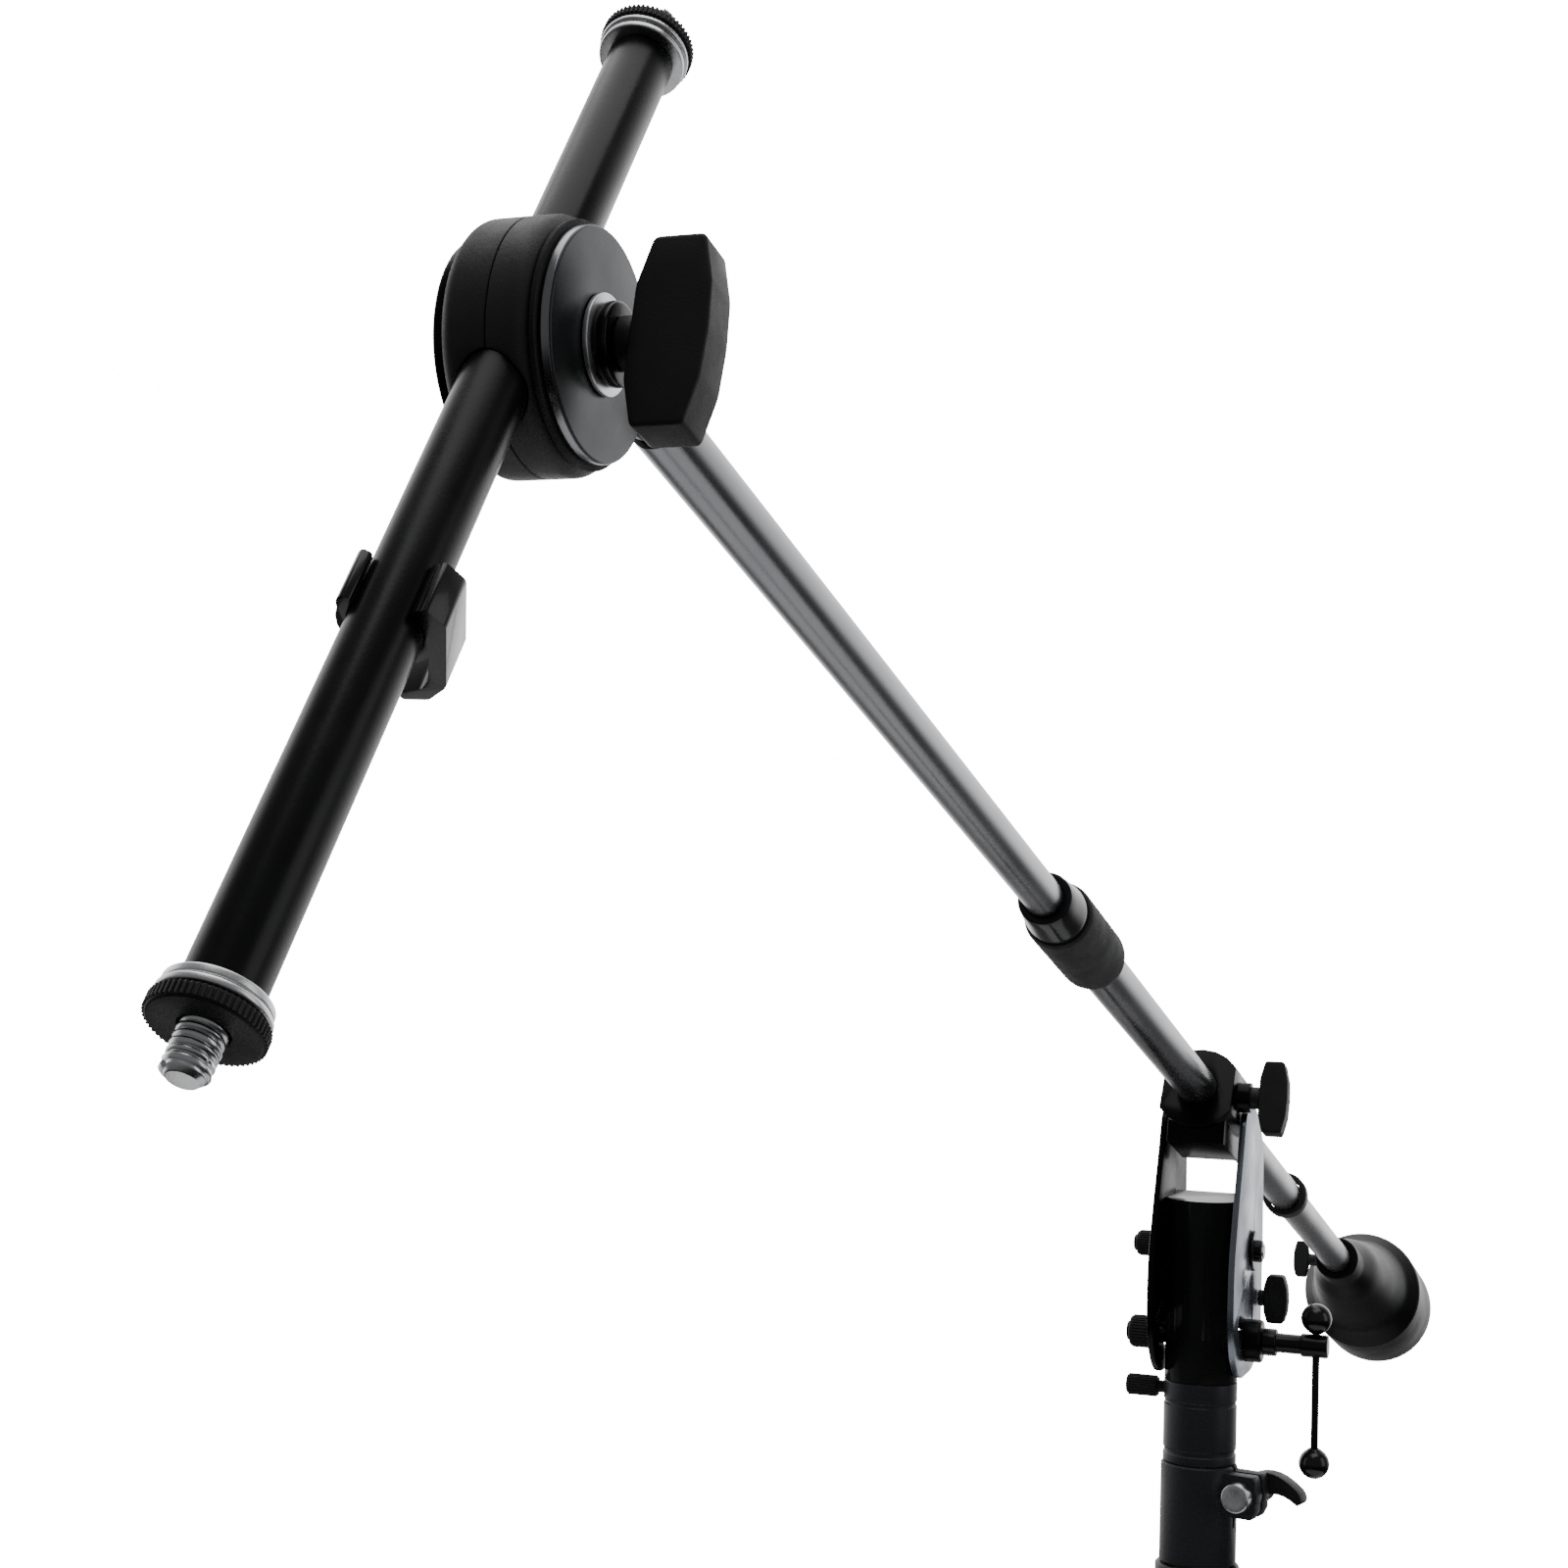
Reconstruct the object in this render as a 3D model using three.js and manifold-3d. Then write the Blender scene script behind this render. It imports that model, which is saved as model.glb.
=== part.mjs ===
// Boom microphone stand: tripod base, three-section mast, tilting boom clamp, telescopic
// boom with a counterweight, and a swivelling crossbar with a threaded stud at each end.
// Millimetres, +Z up. The origin is the middle of the flat underside of the base hub.
import * as THREE from "three";
import { mergeVertices } from "three/addons/utils/BufferGeometryUtils.js";
import Module from "manifold-3d";

const wasm = await Module();
wasm.setup();

// Driving dimensions.
const clearance = 0.3; // between two pieces that touch, slide or turn
const boomHeight = 1100; // boom axis above the hub underside, over the mast
const boomSlope = 15.4; // degrees, the crossbar end is the high one
const roundSides = 20; // facets of the larger round pieces
const smallSides = 10; // facets of screws and studs

// Base.
const hubRadius = 58;
const hubThickness = 34;
const hubSleeveRadius = 27;
const hubSleeveTop = 120;
const legRadius = 12.5;
const legWall = 2;
const legStart = 40; // from the mast axis to the inner end of a leg
const legReach = 430; // from the mast axis to the middle of a foot
const legHeight = 18; // leg axis above the hub underside, at the hub
const legDrop = 3.2; // degrees below level
const footHeight = 30;
const legCount = 3;

// Mast: each section slides in the next one down.
const mastWall = 1.5;
const innerMastRadius = 14;
const middleMastRadius = innerMastRadius + mastWall + 0.5;
const outerMastRadius = middleMastRadius + mastWall + 0.5;
const innerMastLength = 640;
const middleMastLength = 640;
const clampHeight = 49;
const swivelDrop = 139; // from the boom axis down to the swivel joint
const swivelHeight = 40;
const swivelRadius = innerMastRadius + 4;
const middleClampRadius = middleMastRadius + 2.9;
const outerClampRadius = outerMastRadius + 2.8;
const spigotRadius = innerMastRadius - 1.5;
const spigotLength = 22;

// Mast head and the two side plates that carry the boom clamp.
const headRadius = 18; // rounded front and half the width of the head
const headBack = 38; // flat back of the head, behind the mast axis
const headTopDrop = 50; // from the boom axis down to the top of the head
const headTaperDrop = 122; // where the head narrows to the mast's own round
const plateThickness = 3;
const pivotBack = 17; // pivot bolt behind the mast axis
const pivotDrop = 76; // pivot bolt below the boom axis
const pivotRadius = 4;
const lockDrop = 118; // clamp screw below the boom axis, on the mast axis
const lockRadius = 4.7;
const tiltUp = 18; // degrees either way from rest
const tiltDown = 18;

// Boom.
const boomWall = 1.5;
const innerBoomRadius = 7.5;
const outerBoomRadius = innerBoomRadius + boomWall + 0.5;
const boomFront = -305; // front end of the outer tube, along the boom from the mast axis
const boomRear = 765;
const innerBoomFront = -736;
const innerBoomLength = 700;
const saddleFront = -32;
const saddleRear = 20;
const saddleRadius = 21;
const saddleScrewAlong = -6; // its screw boss, on the right
const saddleBossRadius = 7.5;
const saddleBossReach = 23.5; // outer face of the boss, from the boom axis
const stopPlace = 262;
const stopRadius = outerBoomRadius + 3.5;
const stopLength = 11;
const gripFront = -347;
const gripRear = -258;
const bushRadius = outerBoomRadius + 1.9;
const gripRadius = bushRadius + 2.2;
const gripMouthRadius = innerBoomRadius + 2.9;

// Counterweight, along the boom.
const weightRear = boomRear - 20;
const weightShoulder = weightRear - 95;
const weightFront = weightRear - 241;
const weightRadius = 41.5;
const weightNeckRadius = outerBoomRadius + 5;

// Swivel clamp at the high end of the boom; its bolt is level, across the boom.
const knuckleAlong = -772;
const knuckleRadius = 29.2;
const knuckleBoltRadius = 2.5;
const stemDiscRadius = 26.3;
const stemDiscHalf = 1.5;
const crossPlane = 12.7; // crossbar axis to the side of the boom axis
const crossLean = 53.9; // degrees of the crossbar above level
const shellThickness = 11.6;
const capThickness = 3;
const knobTurn = 13; // degrees, how the wing knob happens to stand

// Crossbar, along its own axis from the point nearest the bolt.
const crossRadius = 8;
const crossBeside = crossRadius + knuckleBoltRadius + 0.4; // crossbar axis from the bolt axis
const crossWall = 1.5;
const crossNear = -185;
const crossFar = 93;
const flangeRadius = 10.6;
const flangeThickness = 1.9;
const ringThickness = 1.6;
const discRadius = 11.6;
const discThickness = 3.4;
const studRadius = 4.76;
const studLength = 10.2;
const clipMiddle = -90;
const clipLength = 13;
const clipWall = 2.1;

const degree = Math.PI / 180;

// ---- shape helpers -------------------------------------------------------------------

function solidOf(geometry) {
  const bare = geometry.index ? geometry.toNonIndexed() : geometry.clone();
  bare.deleteAttribute("normal");
  bare.deleteAttribute("uv");
  const merged = mergeVertices(bare, 1e-4);
  const corners = Array.from(merged.index.array);
  const kept = [];
  for (let i = 0; i < corners.length; i += 3) {
    const [a, b, c] = corners.slice(i, i + 3);
    if (a !== b && b !== c && c !== a) kept.push(a, b, c);
  }
  const place = merged.attributes.position;
  const [p, q, r] = [new THREE.Vector3(), new THREE.Vector3(), new THREE.Vector3()];
  let volume = 0;
  for (let i = 0; i < kept.length; i += 3) {
    p.fromBufferAttribute(place, kept[i]);
    q.fromBufferAttribute(place, kept[i + 1]);
    r.fromBufferAttribute(place, kept[i + 2]);
    volume += p.dot(q.cross(r));
  }
  if (volume < 0) kept.reverse();
  return new wasm.Manifold(
    new wasm.Mesh({
      numProp: 3,
      vertProperties: new Float32Array(place.array),
      triVerts: new Uint32Array(kept),
    }),
  );
}

function geometryOf(solid) {
  const made = solid.getMesh();
  const geometry = new THREE.BufferGeometry();
  geometry.setAttribute("position", new THREE.BufferAttribute(made.vertProperties, 3));
  geometry.setIndex(new THREE.BufferAttribute(made.triVerts, 1));
  return geometry;
}

const join = (...parts) =>
  geometryOf(parts.slice(1).reduce((all, part) => all.add(solidOf(part)), solidOf(parts[0])));
const cut = (part, ...tools) =>
  geometryOf(tools.reduce((left, tool) => left.subtract(solidOf(tool)), solidOf(part)));
const meet = (a, b) => geometryOf(solidOf(a).intersect(solidOf(b)));

// A closed outline of [radius, height] pairs turned about Z.
function turned(outline, sides = roundSides) {
  const points = outline.map(([radius, height]) => new THREE.Vector2(radius, height));
  return new THREE.LatheGeometry(points, sides).rotateX(Math.PI / 2);
}

function rod(radius, low, high, sides = roundSides) {
  return turned([[0, low], [radius, low], [radius, high], [0, high]], sides);
}

// A rod with a chamfer at each end.
function softRod(radius, low, high, chamfer, sides = roundSides) {
  const outline = [
    [0, low],
    [radius - chamfer, low],
    [radius, low + chamfer],
    [radius, high - chamfer],
    [radius - chamfer, high],
    [0, high],
  ];
  return turned(outline, sides);
}

function tube(outer, inner, low, high, sides = roundSides) {
  return turned([[inner, low], [outer, low], [outer, high], [inner, high], [inner, low]], sides);
}

function block(x0, x1, y0, y1, z0, z1) {
  return new THREE.BoxGeometry(x1 - x0, y1 - y0, z1 - z0).translate(
    (x0 + x1) / 2,
    (y0 + y1) / 2,
    (z0 + z1) / 2,
  );
}

const alongY = (shape) => shape.rotateX(-Math.PI / 2); // +Z goes to +Y
const alongX = (shape) => shape.rotateY(Math.PI / 2); // +Z goes to +X

// An outline in the X-Z plane, given thickness along Y from y0 to y1.
function upright(shape, y0, y1, steps = 6) {
  const made = new THREE.ExtrudeGeometry(shape, {
    depth: y1 - y0,
    bevelEnabled: false,
    curveSegments: steps,
  });
  return made.rotateX(Math.PI / 2).translate(0, y1, 0);
}

function outlineOf(points) {
  return new THREE.Shape(points.map(([x, y]) => new THREE.Vector2(x, y)));
}

// A closed outline whose corners are rounded by the given radius.
function roundedOutline(points, radius) {
  const shape = new THREE.Shape();
  const corners = points.map(([x, y]) => new THREE.Vector2(x, y));
  corners.forEach((corner, i) => {
    const before = corners[(i + corners.length - 1) % corners.length];
    const after = corners[(i + 1) % corners.length];
    const reachIn = Math.min(radius, corner.distanceTo(before) * 0.45);
    const reachOut = Math.min(radius, corner.distanceTo(after) * 0.45);
    const start = before.clone().sub(corner).setLength(reachIn).add(corner);
    const end = after.clone().sub(corner).setLength(reachOut).add(corner);
    if (i === 0) shape.moveTo(start.x, start.y);
    else shape.lineTo(start.x, start.y);
    shape.quadraticCurveTo(corner.x, corner.y, end.x, end.y);
  });
  shape.closePath();
  return shape;
}

// A wing blade standing on a round stem: its middle plane holds the stem's axis, which
// runs along +Z from 0. The blade is `high` across and stands from `near` to `far`.
function wingKnob(stemRadius, near, far, high, thick) {
  const half = high / 2;
  const rise = far - near;
  const outline = [
    [-half, near + rise * 0.16],
    [-half * 0.5, near],
    [half * 0.5, near],
    [half, near + rise * 0.16],
    [half, far - rise * 0.18],
    [half * 0.5, far - rise * 0.03],
    [0, far],
    [-half * 0.5, far - rise * 0.03],
    [-half, far - rise * 0.18],
  ];
  const blade = new THREE.ExtrudeGeometry(roundedOutline(outline, 1.2), {
    depth: thick - 1.6,
    bevelEnabled: true,
    bevelThickness: 0.8,
    bevelSize: 0.8,
    bevelOffset: -0.8,
    bevelSegments: 1,
    curveSegments: 2,
  });
  blade.translate(0, 0, 0.8 - thick / 2).rotateX(Math.PI / 2); // outline's Y goes to +Z
  blade.rotateZ(Math.PI / 2);
  return join(blade, rod(stemRadius, 0, near + 2, smallSides));
}

// ---- finishes ------------------------------------------------------------------------

const finishes = {
  blackPaint: { color: 0x141416, roughness: 0.35, metalness: 0.2 },
  castBlack: { color: 0x1a1a1c, roughness: 0.5, metalness: 0.2 },
  mastGrey: { color: 0x2b2c30, roughness: 0.45, metalness: 0.3 },
  mouldedBlack: { color: 0x18181a, roughness: 0.65, metalness: 0 },
  rubber: { color: 0x232325, roughness: 0.9, metalness: 0 },
  chrome: { color: 0xc9cbce, roughness: 0.12, metalness: 1 },
  zinc: { color: 0xa9b0ba, roughness: 0.35, metalness: 1 },
  greyDisc: { color: 0x4c4e52, roughness: 0.45, metalness: 0.5 },
};

const stand = new THREE.Group();

function piece(name, shape, finish, parent = stand) {
  const mesh = new THREE.Mesh(shape, new THREE.MeshStandardMaterial(finishes[finish]));
  mesh.name = name;
  parent.add(mesh);
  return mesh;
}

// ---- base ----------------------------------------------------------------------------

function legFrame(index) {
  const frame = new THREE.Group();
  frame.rotation.z = (index * 2 * Math.PI) / legCount;
  stand.add(frame);
  return frame;
}

// A shape made along +Z is laid along a leg: outward along +X, dropping slightly.
function alongLeg(shape) {
  return shape.rotateY((90 + legDrop) * degree).translate(0, 0, legHeight);
}

const footLow = legHeight - legReach * Math.sin(legDrop * degree) - legRadius - 7;

function baseHub() {
  const body = turned([
    [0, 0],
    [hubRadius - 2, 0],
    [hubRadius, 2],
    [hubRadius, hubThickness - 6],
    [hubRadius - 10, hubThickness],
    [hubSleeveRadius + 4, hubThickness + 4],
    [hubSleeveRadius, hubThickness + 16],
    [hubSleeveRadius, hubSleeveTop - 2],
    [hubSleeveRadius - 2, hubSleeveTop],
    [0, hubSleeveTop],
  ]);
  const sockets = [];
  const bores = [];
  for (let i = 0; i < legCount; i++) {
    const turn = (i * 2 * Math.PI) / legCount;
    sockets.push(alongLeg(rod(legRadius + 5, 30, 92, 16)).rotateZ(turn));
    bores.push(alongLeg(rod(legRadius + clearance, legStart, 120, 16)).rotateZ(turn));
  }
  const below = block(-200, 200, -200, 200, -80, 0);
  const mastBore = rod(outerMastRadius + clearance, 8, 400);
  return cut(join(body, ...sockets), below, mastBore, ...bores);
}

piece("base_hub", baseHub(), "castBlack");
for (let i = 0; i < legCount; i++) {
  const frame = legFrame(i);
  const legEnd = legReach + 4;
  const leg = alongLeg(tube(legRadius, legRadius - legWall, legStart + clearance, legEnd, 16));
  piece(`leg_${i + 1}`, leg, "blackPaint", frame);
  const cup = alongLeg(
    cut(
      rod(legRadius + 3.5, legReach - 30, legReach + 12, 16),
      rod(legRadius + clearance, legReach - 40, legEnd + clearance, 16),
    ),
  );
  const padTop = footLow + footHeight;
  const pad = turned([[0, footLow], [15, footLow], [17, footLow + 3], [13, padTop], [0, padTop]], 16);
  const sole = cut(
    pad.translate(legReach - 8, 0, 0),
    alongLeg(rod(legRadius + clearance, legReach - 60, legEnd + clearance, 16)),
  );
  piece(`foot_${i + 1}`, join(cup, sole), "rubber", frame);
}

// ---- mast ----------------------------------------------------------------------------

const swivelTop = boomHeight - swivelDrop;
const swivelLow = swivelTop - swivelHeight;
const middleClampTop = swivelLow - clearance;
const middleClampLow = middleClampTop - clampHeight;
const outerClampTop = middleClampLow - clearance;
const outerClampLow = outerClampTop - clampHeight;
const tubeSeat = 16; // depth of a clamp's lower bore, over the top of its own tube

const innerMastTop = swivelTop - spigotLength - 2;
piece(
  "mast_inner_tube",
  tube(innerMastRadius, innerMastRadius - mastWall, innerMastTop - innerMastLength, innerMastTop),
  "mastGrey",
);
const middleMastTop = middleClampLow + tubeSeat;
piece(
  "mast_middle_tube",
  tube(middleMastRadius, middleMastRadius - mastWall, middleMastTop - middleMastLength, middleMastTop),
  "mastGrey",
);
const outerMastTop = outerClampLow + tubeSeat;
piece(
  "mast_outer_tube",
  tube(outerMastRadius, outerMastRadius - mastWall, 8 + clearance, outerMastTop),
  "mastGrey",
);

// Collar at the top of the mast: the spigot of the head turns in it.
const screwDrop = 5.5; // its thumbscrew, below its top
const swivelCollar = cut(
  softRod(swivelRadius, swivelLow, swivelTop - clearance, 0.8),
  rod(spigotRadius + clearance, innerMastTop - 1, swivelTop + 5),
  rod(innerMastRadius + clearance, swivelLow - 5, innerMastTop + clearance),
  alongY(rod(3.3, 5, 40, smallSides)).translate(0, 0, swivelTop - screwDrop),
);
piece("swivel_collar", swivelCollar, "mastGrey");

// Knurled screw that bears on the spigot, out to the side of the mast.
const swivelScrew = join(
  alongY(rod(3, spigotRadius + clearance, 26, smallSides)),
  alongY(softRod(5.2, 21, 37, 0.8, smallSides)),
).translate(0, 0, swivelTop - screwDrop);
piece("swivel_thumbscrew", swivelScrew, "mouldedBlack");

// Clamp collar with two ears, its screw, and the cam lever on the screw.
const earReach = 14; // ears stand this far out of the collar
const earHalfGap = 1.2;
const earHalfWidth = 9;
const screwRadius = 3;
const clampTurn = 12; // degrees, how the clamps stand on the mast
function mastClamp(name, radius, low, tubeRadius, seatRadius) {
  const turnedGroup = new THREE.Group();
  turnedGroup.rotation.z = -clampTurn * degree;
  stand.add(turnedGroup);
  const high = low + clampHeight;
  const screwAt = -(radius + 6.5);
  const screwHeight = high - 12;
  const earFront = -(radius + earReach);
  const ear = block(-earHalfWidth, earHalfWidth, earFront, -radius + 4, high - 23, high - 2.5);
  const earRound = alongX(rod(22, -20, 20)).translate(0, -12, screwHeight);
  const boss = alongX(rod(8.4, -earHalfWidth, earHalfWidth, 18)).translate(0, screwAt, screwHeight);
  const slit = block(-earHalfGap, earHalfGap, -(radius + 40), -tubeRadius, high - 30, high + 2);
  const collar = cut(
    join(softRod(radius, low, high, 1), meet(ear, earRound), boss),
    rod(tubeRadius + clearance, low - 5, high + 5),
    rod(seatRadius + clearance, low - 5, low + tubeSeat + clearance),
    slit,
    alongX(rod(screwRadius + clearance, -60, 60, smallSides)).translate(0, screwAt, screwHeight),
  );
  piece(`${name}_collar`, collar, "castBlack", turnedGroup);
  const head = alongX(softRod(7, -earHalfWidth - 8, -earHalfWidth - clearance, 0.7, 16));
  const shank = alongX(rod(screwRadius, -earHalfWidth - 2, earHalfWidth + 12, smallSides));
  piece(`${name}_screw`, join(head, shank).translate(0, screwAt, screwHeight), "zinc", turnedGroup);
  const leverLow = earHalfWidth + clearance;
  const cam = alongX(rod(7.4, leverLow, leverLow + 10, 18)).translate(0, screwAt, screwHeight);
  const profile = new THREE.Shape();
  profile.moveTo(screwAt + 5, screwHeight + 5.6);
  profile.quadraticCurveTo(screwAt - 8, screwHeight + 14, screwAt - 22, screwHeight + 2);
  profile.quadraticCurveTo(screwAt - 26, screwHeight - 3, screwAt - 22, screwHeight - 5);
  profile.quadraticCurveTo(screwAt - 10, screwHeight + 4, screwAt, screwHeight - 6);
  profile.closePath();
  const blade = new THREE.ExtrudeGeometry(profile, { depth: 9, bevelEnabled: false, curveSegments: 7 });
  blade.rotateX(Math.PI / 2).rotateZ(Math.PI / 2).translate(leverLow + 0.5, 0, 0);
  const bore = alongX(rod(screwRadius + clearance, -60, 60, smallSides)).translate(0, screwAt, screwHeight);
  piece(`${name}_lever`, cut(join(cam, blade), bore), "mouldedBlack", turnedGroup);
}
mastClamp("middle_clamp", middleClampRadius, middleClampLow, innerMastRadius, middleMastRadius);
mastClamp("outer_clamp", outerClampRadius, outerClampLow, middleMastRadius, outerMastRadius);

// ---- mast head -----------------------------------------------------------------------

const headTop = boomHeight - headTopDrop;
const headTaper = boomHeight - headTaperDrop;
const pivotHeight = boomHeight - pivotDrop;
const lockHeight = boomHeight - lockDrop;

function mastHead() {
  const shape = new THREE.Shape();
  shape.absarc(0, 0, headRadius, Math.PI / 2, 1.5 * Math.PI, false);
  shape.lineTo(headBack, -headRadius);
  shape.lineTo(headBack, headRadius);
  shape.closePath();
  const headBlock = new THREE.ExtrudeGeometry(shape, {
    depth: headTop - headTaper,
    bevelEnabled: false,
    curveSegments: 14,
  }).translate(0, 0, headTaper);
  const slope = outlineOf([[-40, headTaper - 1], [headBack + 9, headTaper - 1], [headBack + 9, headTaper + 20]]);
  const body = join(
    cut(headBlock, upright(slope, -30, 30)),
    rod(headRadius, swivelTop, headTaper + 30),
    rod(spigotRadius, swivelTop - spigotLength, swivelTop + 1),
  );
  return cut(
    body,
    alongY(rod(pivotRadius + clearance, -40, 40, smallSides)).translate(pivotBack, 0, pivotHeight),
    alongY(rod(lockRadius + clearance, -40, 40, smallSides)).translate(0, 0, lockHeight),
  );
}
piece("head_casting", mastHead(), "castBlack");

// Side plates: each turns on the pivot bolt, and the clamp screw runs in its arc slot.
const lockArm = Math.hypot(pivotBack, lockDrop - pivotDrop);
const lockAngle = Math.atan2(-(lockDrop - pivotDrop), -pivotBack);
function arcSlot() {
  const spread = 2.2 * degree;
  const start = lockAngle - tiltUp * degree - spread;
  const end = lockAngle + tiltDown * degree + spread;
  const shape = new THREE.Shape();
  const halfSlot = lockRadius + clearance;
  shape.absarc(0, 0, lockArm + halfSlot, start, end, false);
  const tipX = lockArm * Math.cos(end);
  const tipY = lockArm * Math.sin(end);
  const rootX = lockArm * Math.cos(start);
  const rootY = lockArm * Math.sin(start);
  shape.absarc(tipX, tipY, halfSlot, end, end + Math.PI, false);
  shape.absarc(0, 0, lockArm - halfSlot, end, start, true);
  shape.absarc(rootX, rootY, halfSlot, start + Math.PI, start + 2 * Math.PI, false);
  shape.closePath();
  return upright(shape, -60, 60, 8).translate(pivotBack, 0, pivotHeight);
}

const plateOutline = [
  [-5, -5],
  [22, -4],
  [47, -24],
  [50, -72],
  [48, -122],
  [26, -136],
  [-12, -136],
  [-27, -124],
  [-33, -106],
  [-32, -78],
  [-22, -50],
  [-11, -24],
];
const plateInner = headRadius + clearance;
function sidePlate(side) {
  const y0 = side > 0 ? plateInner : -plateInner - plateThickness;
  const shape = roundedOutline(plateOutline, 9);
  const plate = upright(shape, y0, y0 + plateThickness, 4).translate(0, 0, boomHeight);
  const bossNotch = alongY(rod(saddleBossRadius + clearance, -60, 0, 18)).translate(
    saddleScrewAlong * Math.cos(boomSlope * degree),
    0,
    boomHeight - saddleScrewAlong * Math.sin(boomSlope * degree),
  );
  return cut(
    plate,
    bossNotch,
    alongY(rod(pivotRadius + clearance, -60, 60, smallSides)).translate(pivotBack, 0, pivotHeight),
    arcSlot(),
  );
}
piece("side_plate_right", sidePlate(-1), "zinc");
piece("side_plate_left", sidePlate(1), "castBlack");

const plateOuter = plateInner + plateThickness;

// Pivot bolt: screw head and washer flange on the right, thumb nut on the left.
const pivotBolt = join(
  alongY(rod(10, -plateOuter - clearance - 1.6, -plateOuter - clearance, 18)),
  alongY(softRod(5.5, -plateOuter - 5.5, -plateOuter - clearance, 0.6, smallSides)),
  alongY(rod(pivotRadius, -plateOuter - 1, plateOuter + 17, smallSides)),
).translate(pivotBack, 0, pivotHeight);
piece("pivot_bolt", pivotBolt, "blackPaint");
const nutLow = plateOuter + clearance;
const pivotNut = cut(
  join(
    alongY(softRod(6.4, nutLow, nutLow + 15, 0.8, smallSides)),
    alongY(rod(9, nutLow, nutLow + 2, 18)),
  ),
  alongY(rod(pivotRadius + clearance, 0, 90, smallSides)),
).translate(pivotBack, 0, pivotHeight);
piece("pivot_thumb_nut", pivotNut, "mouldedBlack");

// Clamp screw across the head, with a boss, a round nut and a sliding T-bar.
const bossLength = 9;
const rodEnd = plateOuter + bossLength + 32;
const barAt = rodEnd - 6;
const barRadius = 1.8;
const clampBoss = cut(
  alongY(softRod(10.4, -plateOuter - bossLength, -plateOuter - clearance, 1, 18)),
  alongY(rod(lockRadius + clearance, -90, 0, smallSides)),
).translate(0, 0, lockHeight);
piece("clamp_boss", clampBoss, "castBlack");
const clampScrew = cut(
  join(
    alongY(rod(lockRadius, -rodEnd, plateOuter + 16, smallSides)),
    alongY(softRod(6.6, -plateOuter - bossLength - 7, -plateOuter - bossLength - clearance, 0.8, smallSides)),
    alongY(softRod(5.6, -rodEnd, -rodEnd + 13, 0.8, smallSides)),
  ),
  rod(barRadius + clearance, -20, 20, smallSides).translate(0, -barAt, 0),
).translate(0, 0, lockHeight);
piece("clamp_screw", clampScrew, "blackPaint");
const clampNut = cut(
  join(
    alongY(softRod(8, nutLow, nutLow + 14, 1, 18)),
    alongY(rod(10, nutLow, nutLow + 2.5, 18)),
  ),
  alongY(rod(lockRadius + clearance, 0, 90, smallSides)),
).translate(0, 0, lockHeight);
piece("clamp_round_nut", clampNut, "mouldedBlack");

const ballRadius = 7.4;
const ballSpread = 70; // between the middles of the two balls
const ballSeat = 5.6 + ballRadius + clearance; // the bar hangs with its upper ball on the screw
const ballSocket = 3; // depth past the ball's middle
const barTop = ballSeat + ballSocket - clearance;
const barLow = ballSeat - ballSpread - ballSocket + clearance;
const tBar = rod(barRadius, barLow, barTop, smallSides);
piece("t_bar_rod", tBar.translate(0, -barAt, lockHeight), "blackPaint");
function barBall(name, height, holeLow, holeHigh) {
  const ball = cut(
    new THREE.SphereGeometry(ballRadius, 14, 9).rotateX(Math.PI / 2),
    rod(barRadius + clearance, holeLow, holeHigh, smallSides),
  );
  piece(name, ball.translate(0, -barAt, lockHeight + height), "mouldedBlack");
}
barBall("t_bar_upper_ball", ballSeat, -20, ballSocket);
barBall("t_bar_lower_ball", ballSeat - ballSpread, -ballSocket, 20);

// Wing screw into the back of the right side plate.
const rearKnobBack = 38;
const rearKnobDrop = 102;
const rearKnob = wingKnob(4, 3, 15, 24, 9).rotateX(Math.PI / 2);
rearKnob.translate(rearKnobBack, -plateOuter - clearance, boomHeight - rearKnobDrop);
piece("plate_wing_screw", rearKnob, "mouldedBlack");

// ---- boom ----------------------------------------------------------------------------

const boom = new THREE.Group(); // +X runs down the boom towards the counterweight
boom.position.z = boomHeight;
boom.rotation.y = boomSlope * degree;
stand.add(boom);

function boomClamp() {
  const mouth = outlineOf([[saddleFront - 30, 60], [saddleFront - 30, -25], [saddleFront - 2, -25], [saddleFront + 22, 40]]);
  const flats = headRadius - 0.6;
  const barrel = join(
    alongX(rod(saddleRadius, saddleFront, saddleRear)),
    block(saddleFront + 10, saddleRear, -14, 14, -27, -12),
  );
  const trimmed = cut(
    barrel,
    upright(mouth, -40, 40),
    block(-80, 80, flats, 60, -60, 60),
    block(-80, 80, -60, -flats, -60, 60),
  );
  const boss = alongY(rod(saddleBossRadius, -saddleBossReach, -10, 18)).translate(saddleScrewAlong, 0, 0);
  return cut(
    join(trimmed, boss),
    alongX(rod(outerBoomRadius + clearance, saddleFront - 20, saddleRear + 20)),
    alongY(rod(3.3, -40, 0, smallSides)).translate(saddleScrewAlong, 0, 0),
  );
}
piece("boom_clamp", boomClamp(), "castBlack", boom);

const clampKnob = join(
  wingKnob(5.5, 4, 18, 36, 11),
  rod(3, outerBoomRadius + 2 * clearance - saddleBossReach, 1, smallSides),
).rotateX(Math.PI / 2);
piece("boom_clamp_knob", clampKnob.translate(saddleScrewAlong, -saddleBossReach - clearance, 0), "mouldedBlack", boom);

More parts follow.
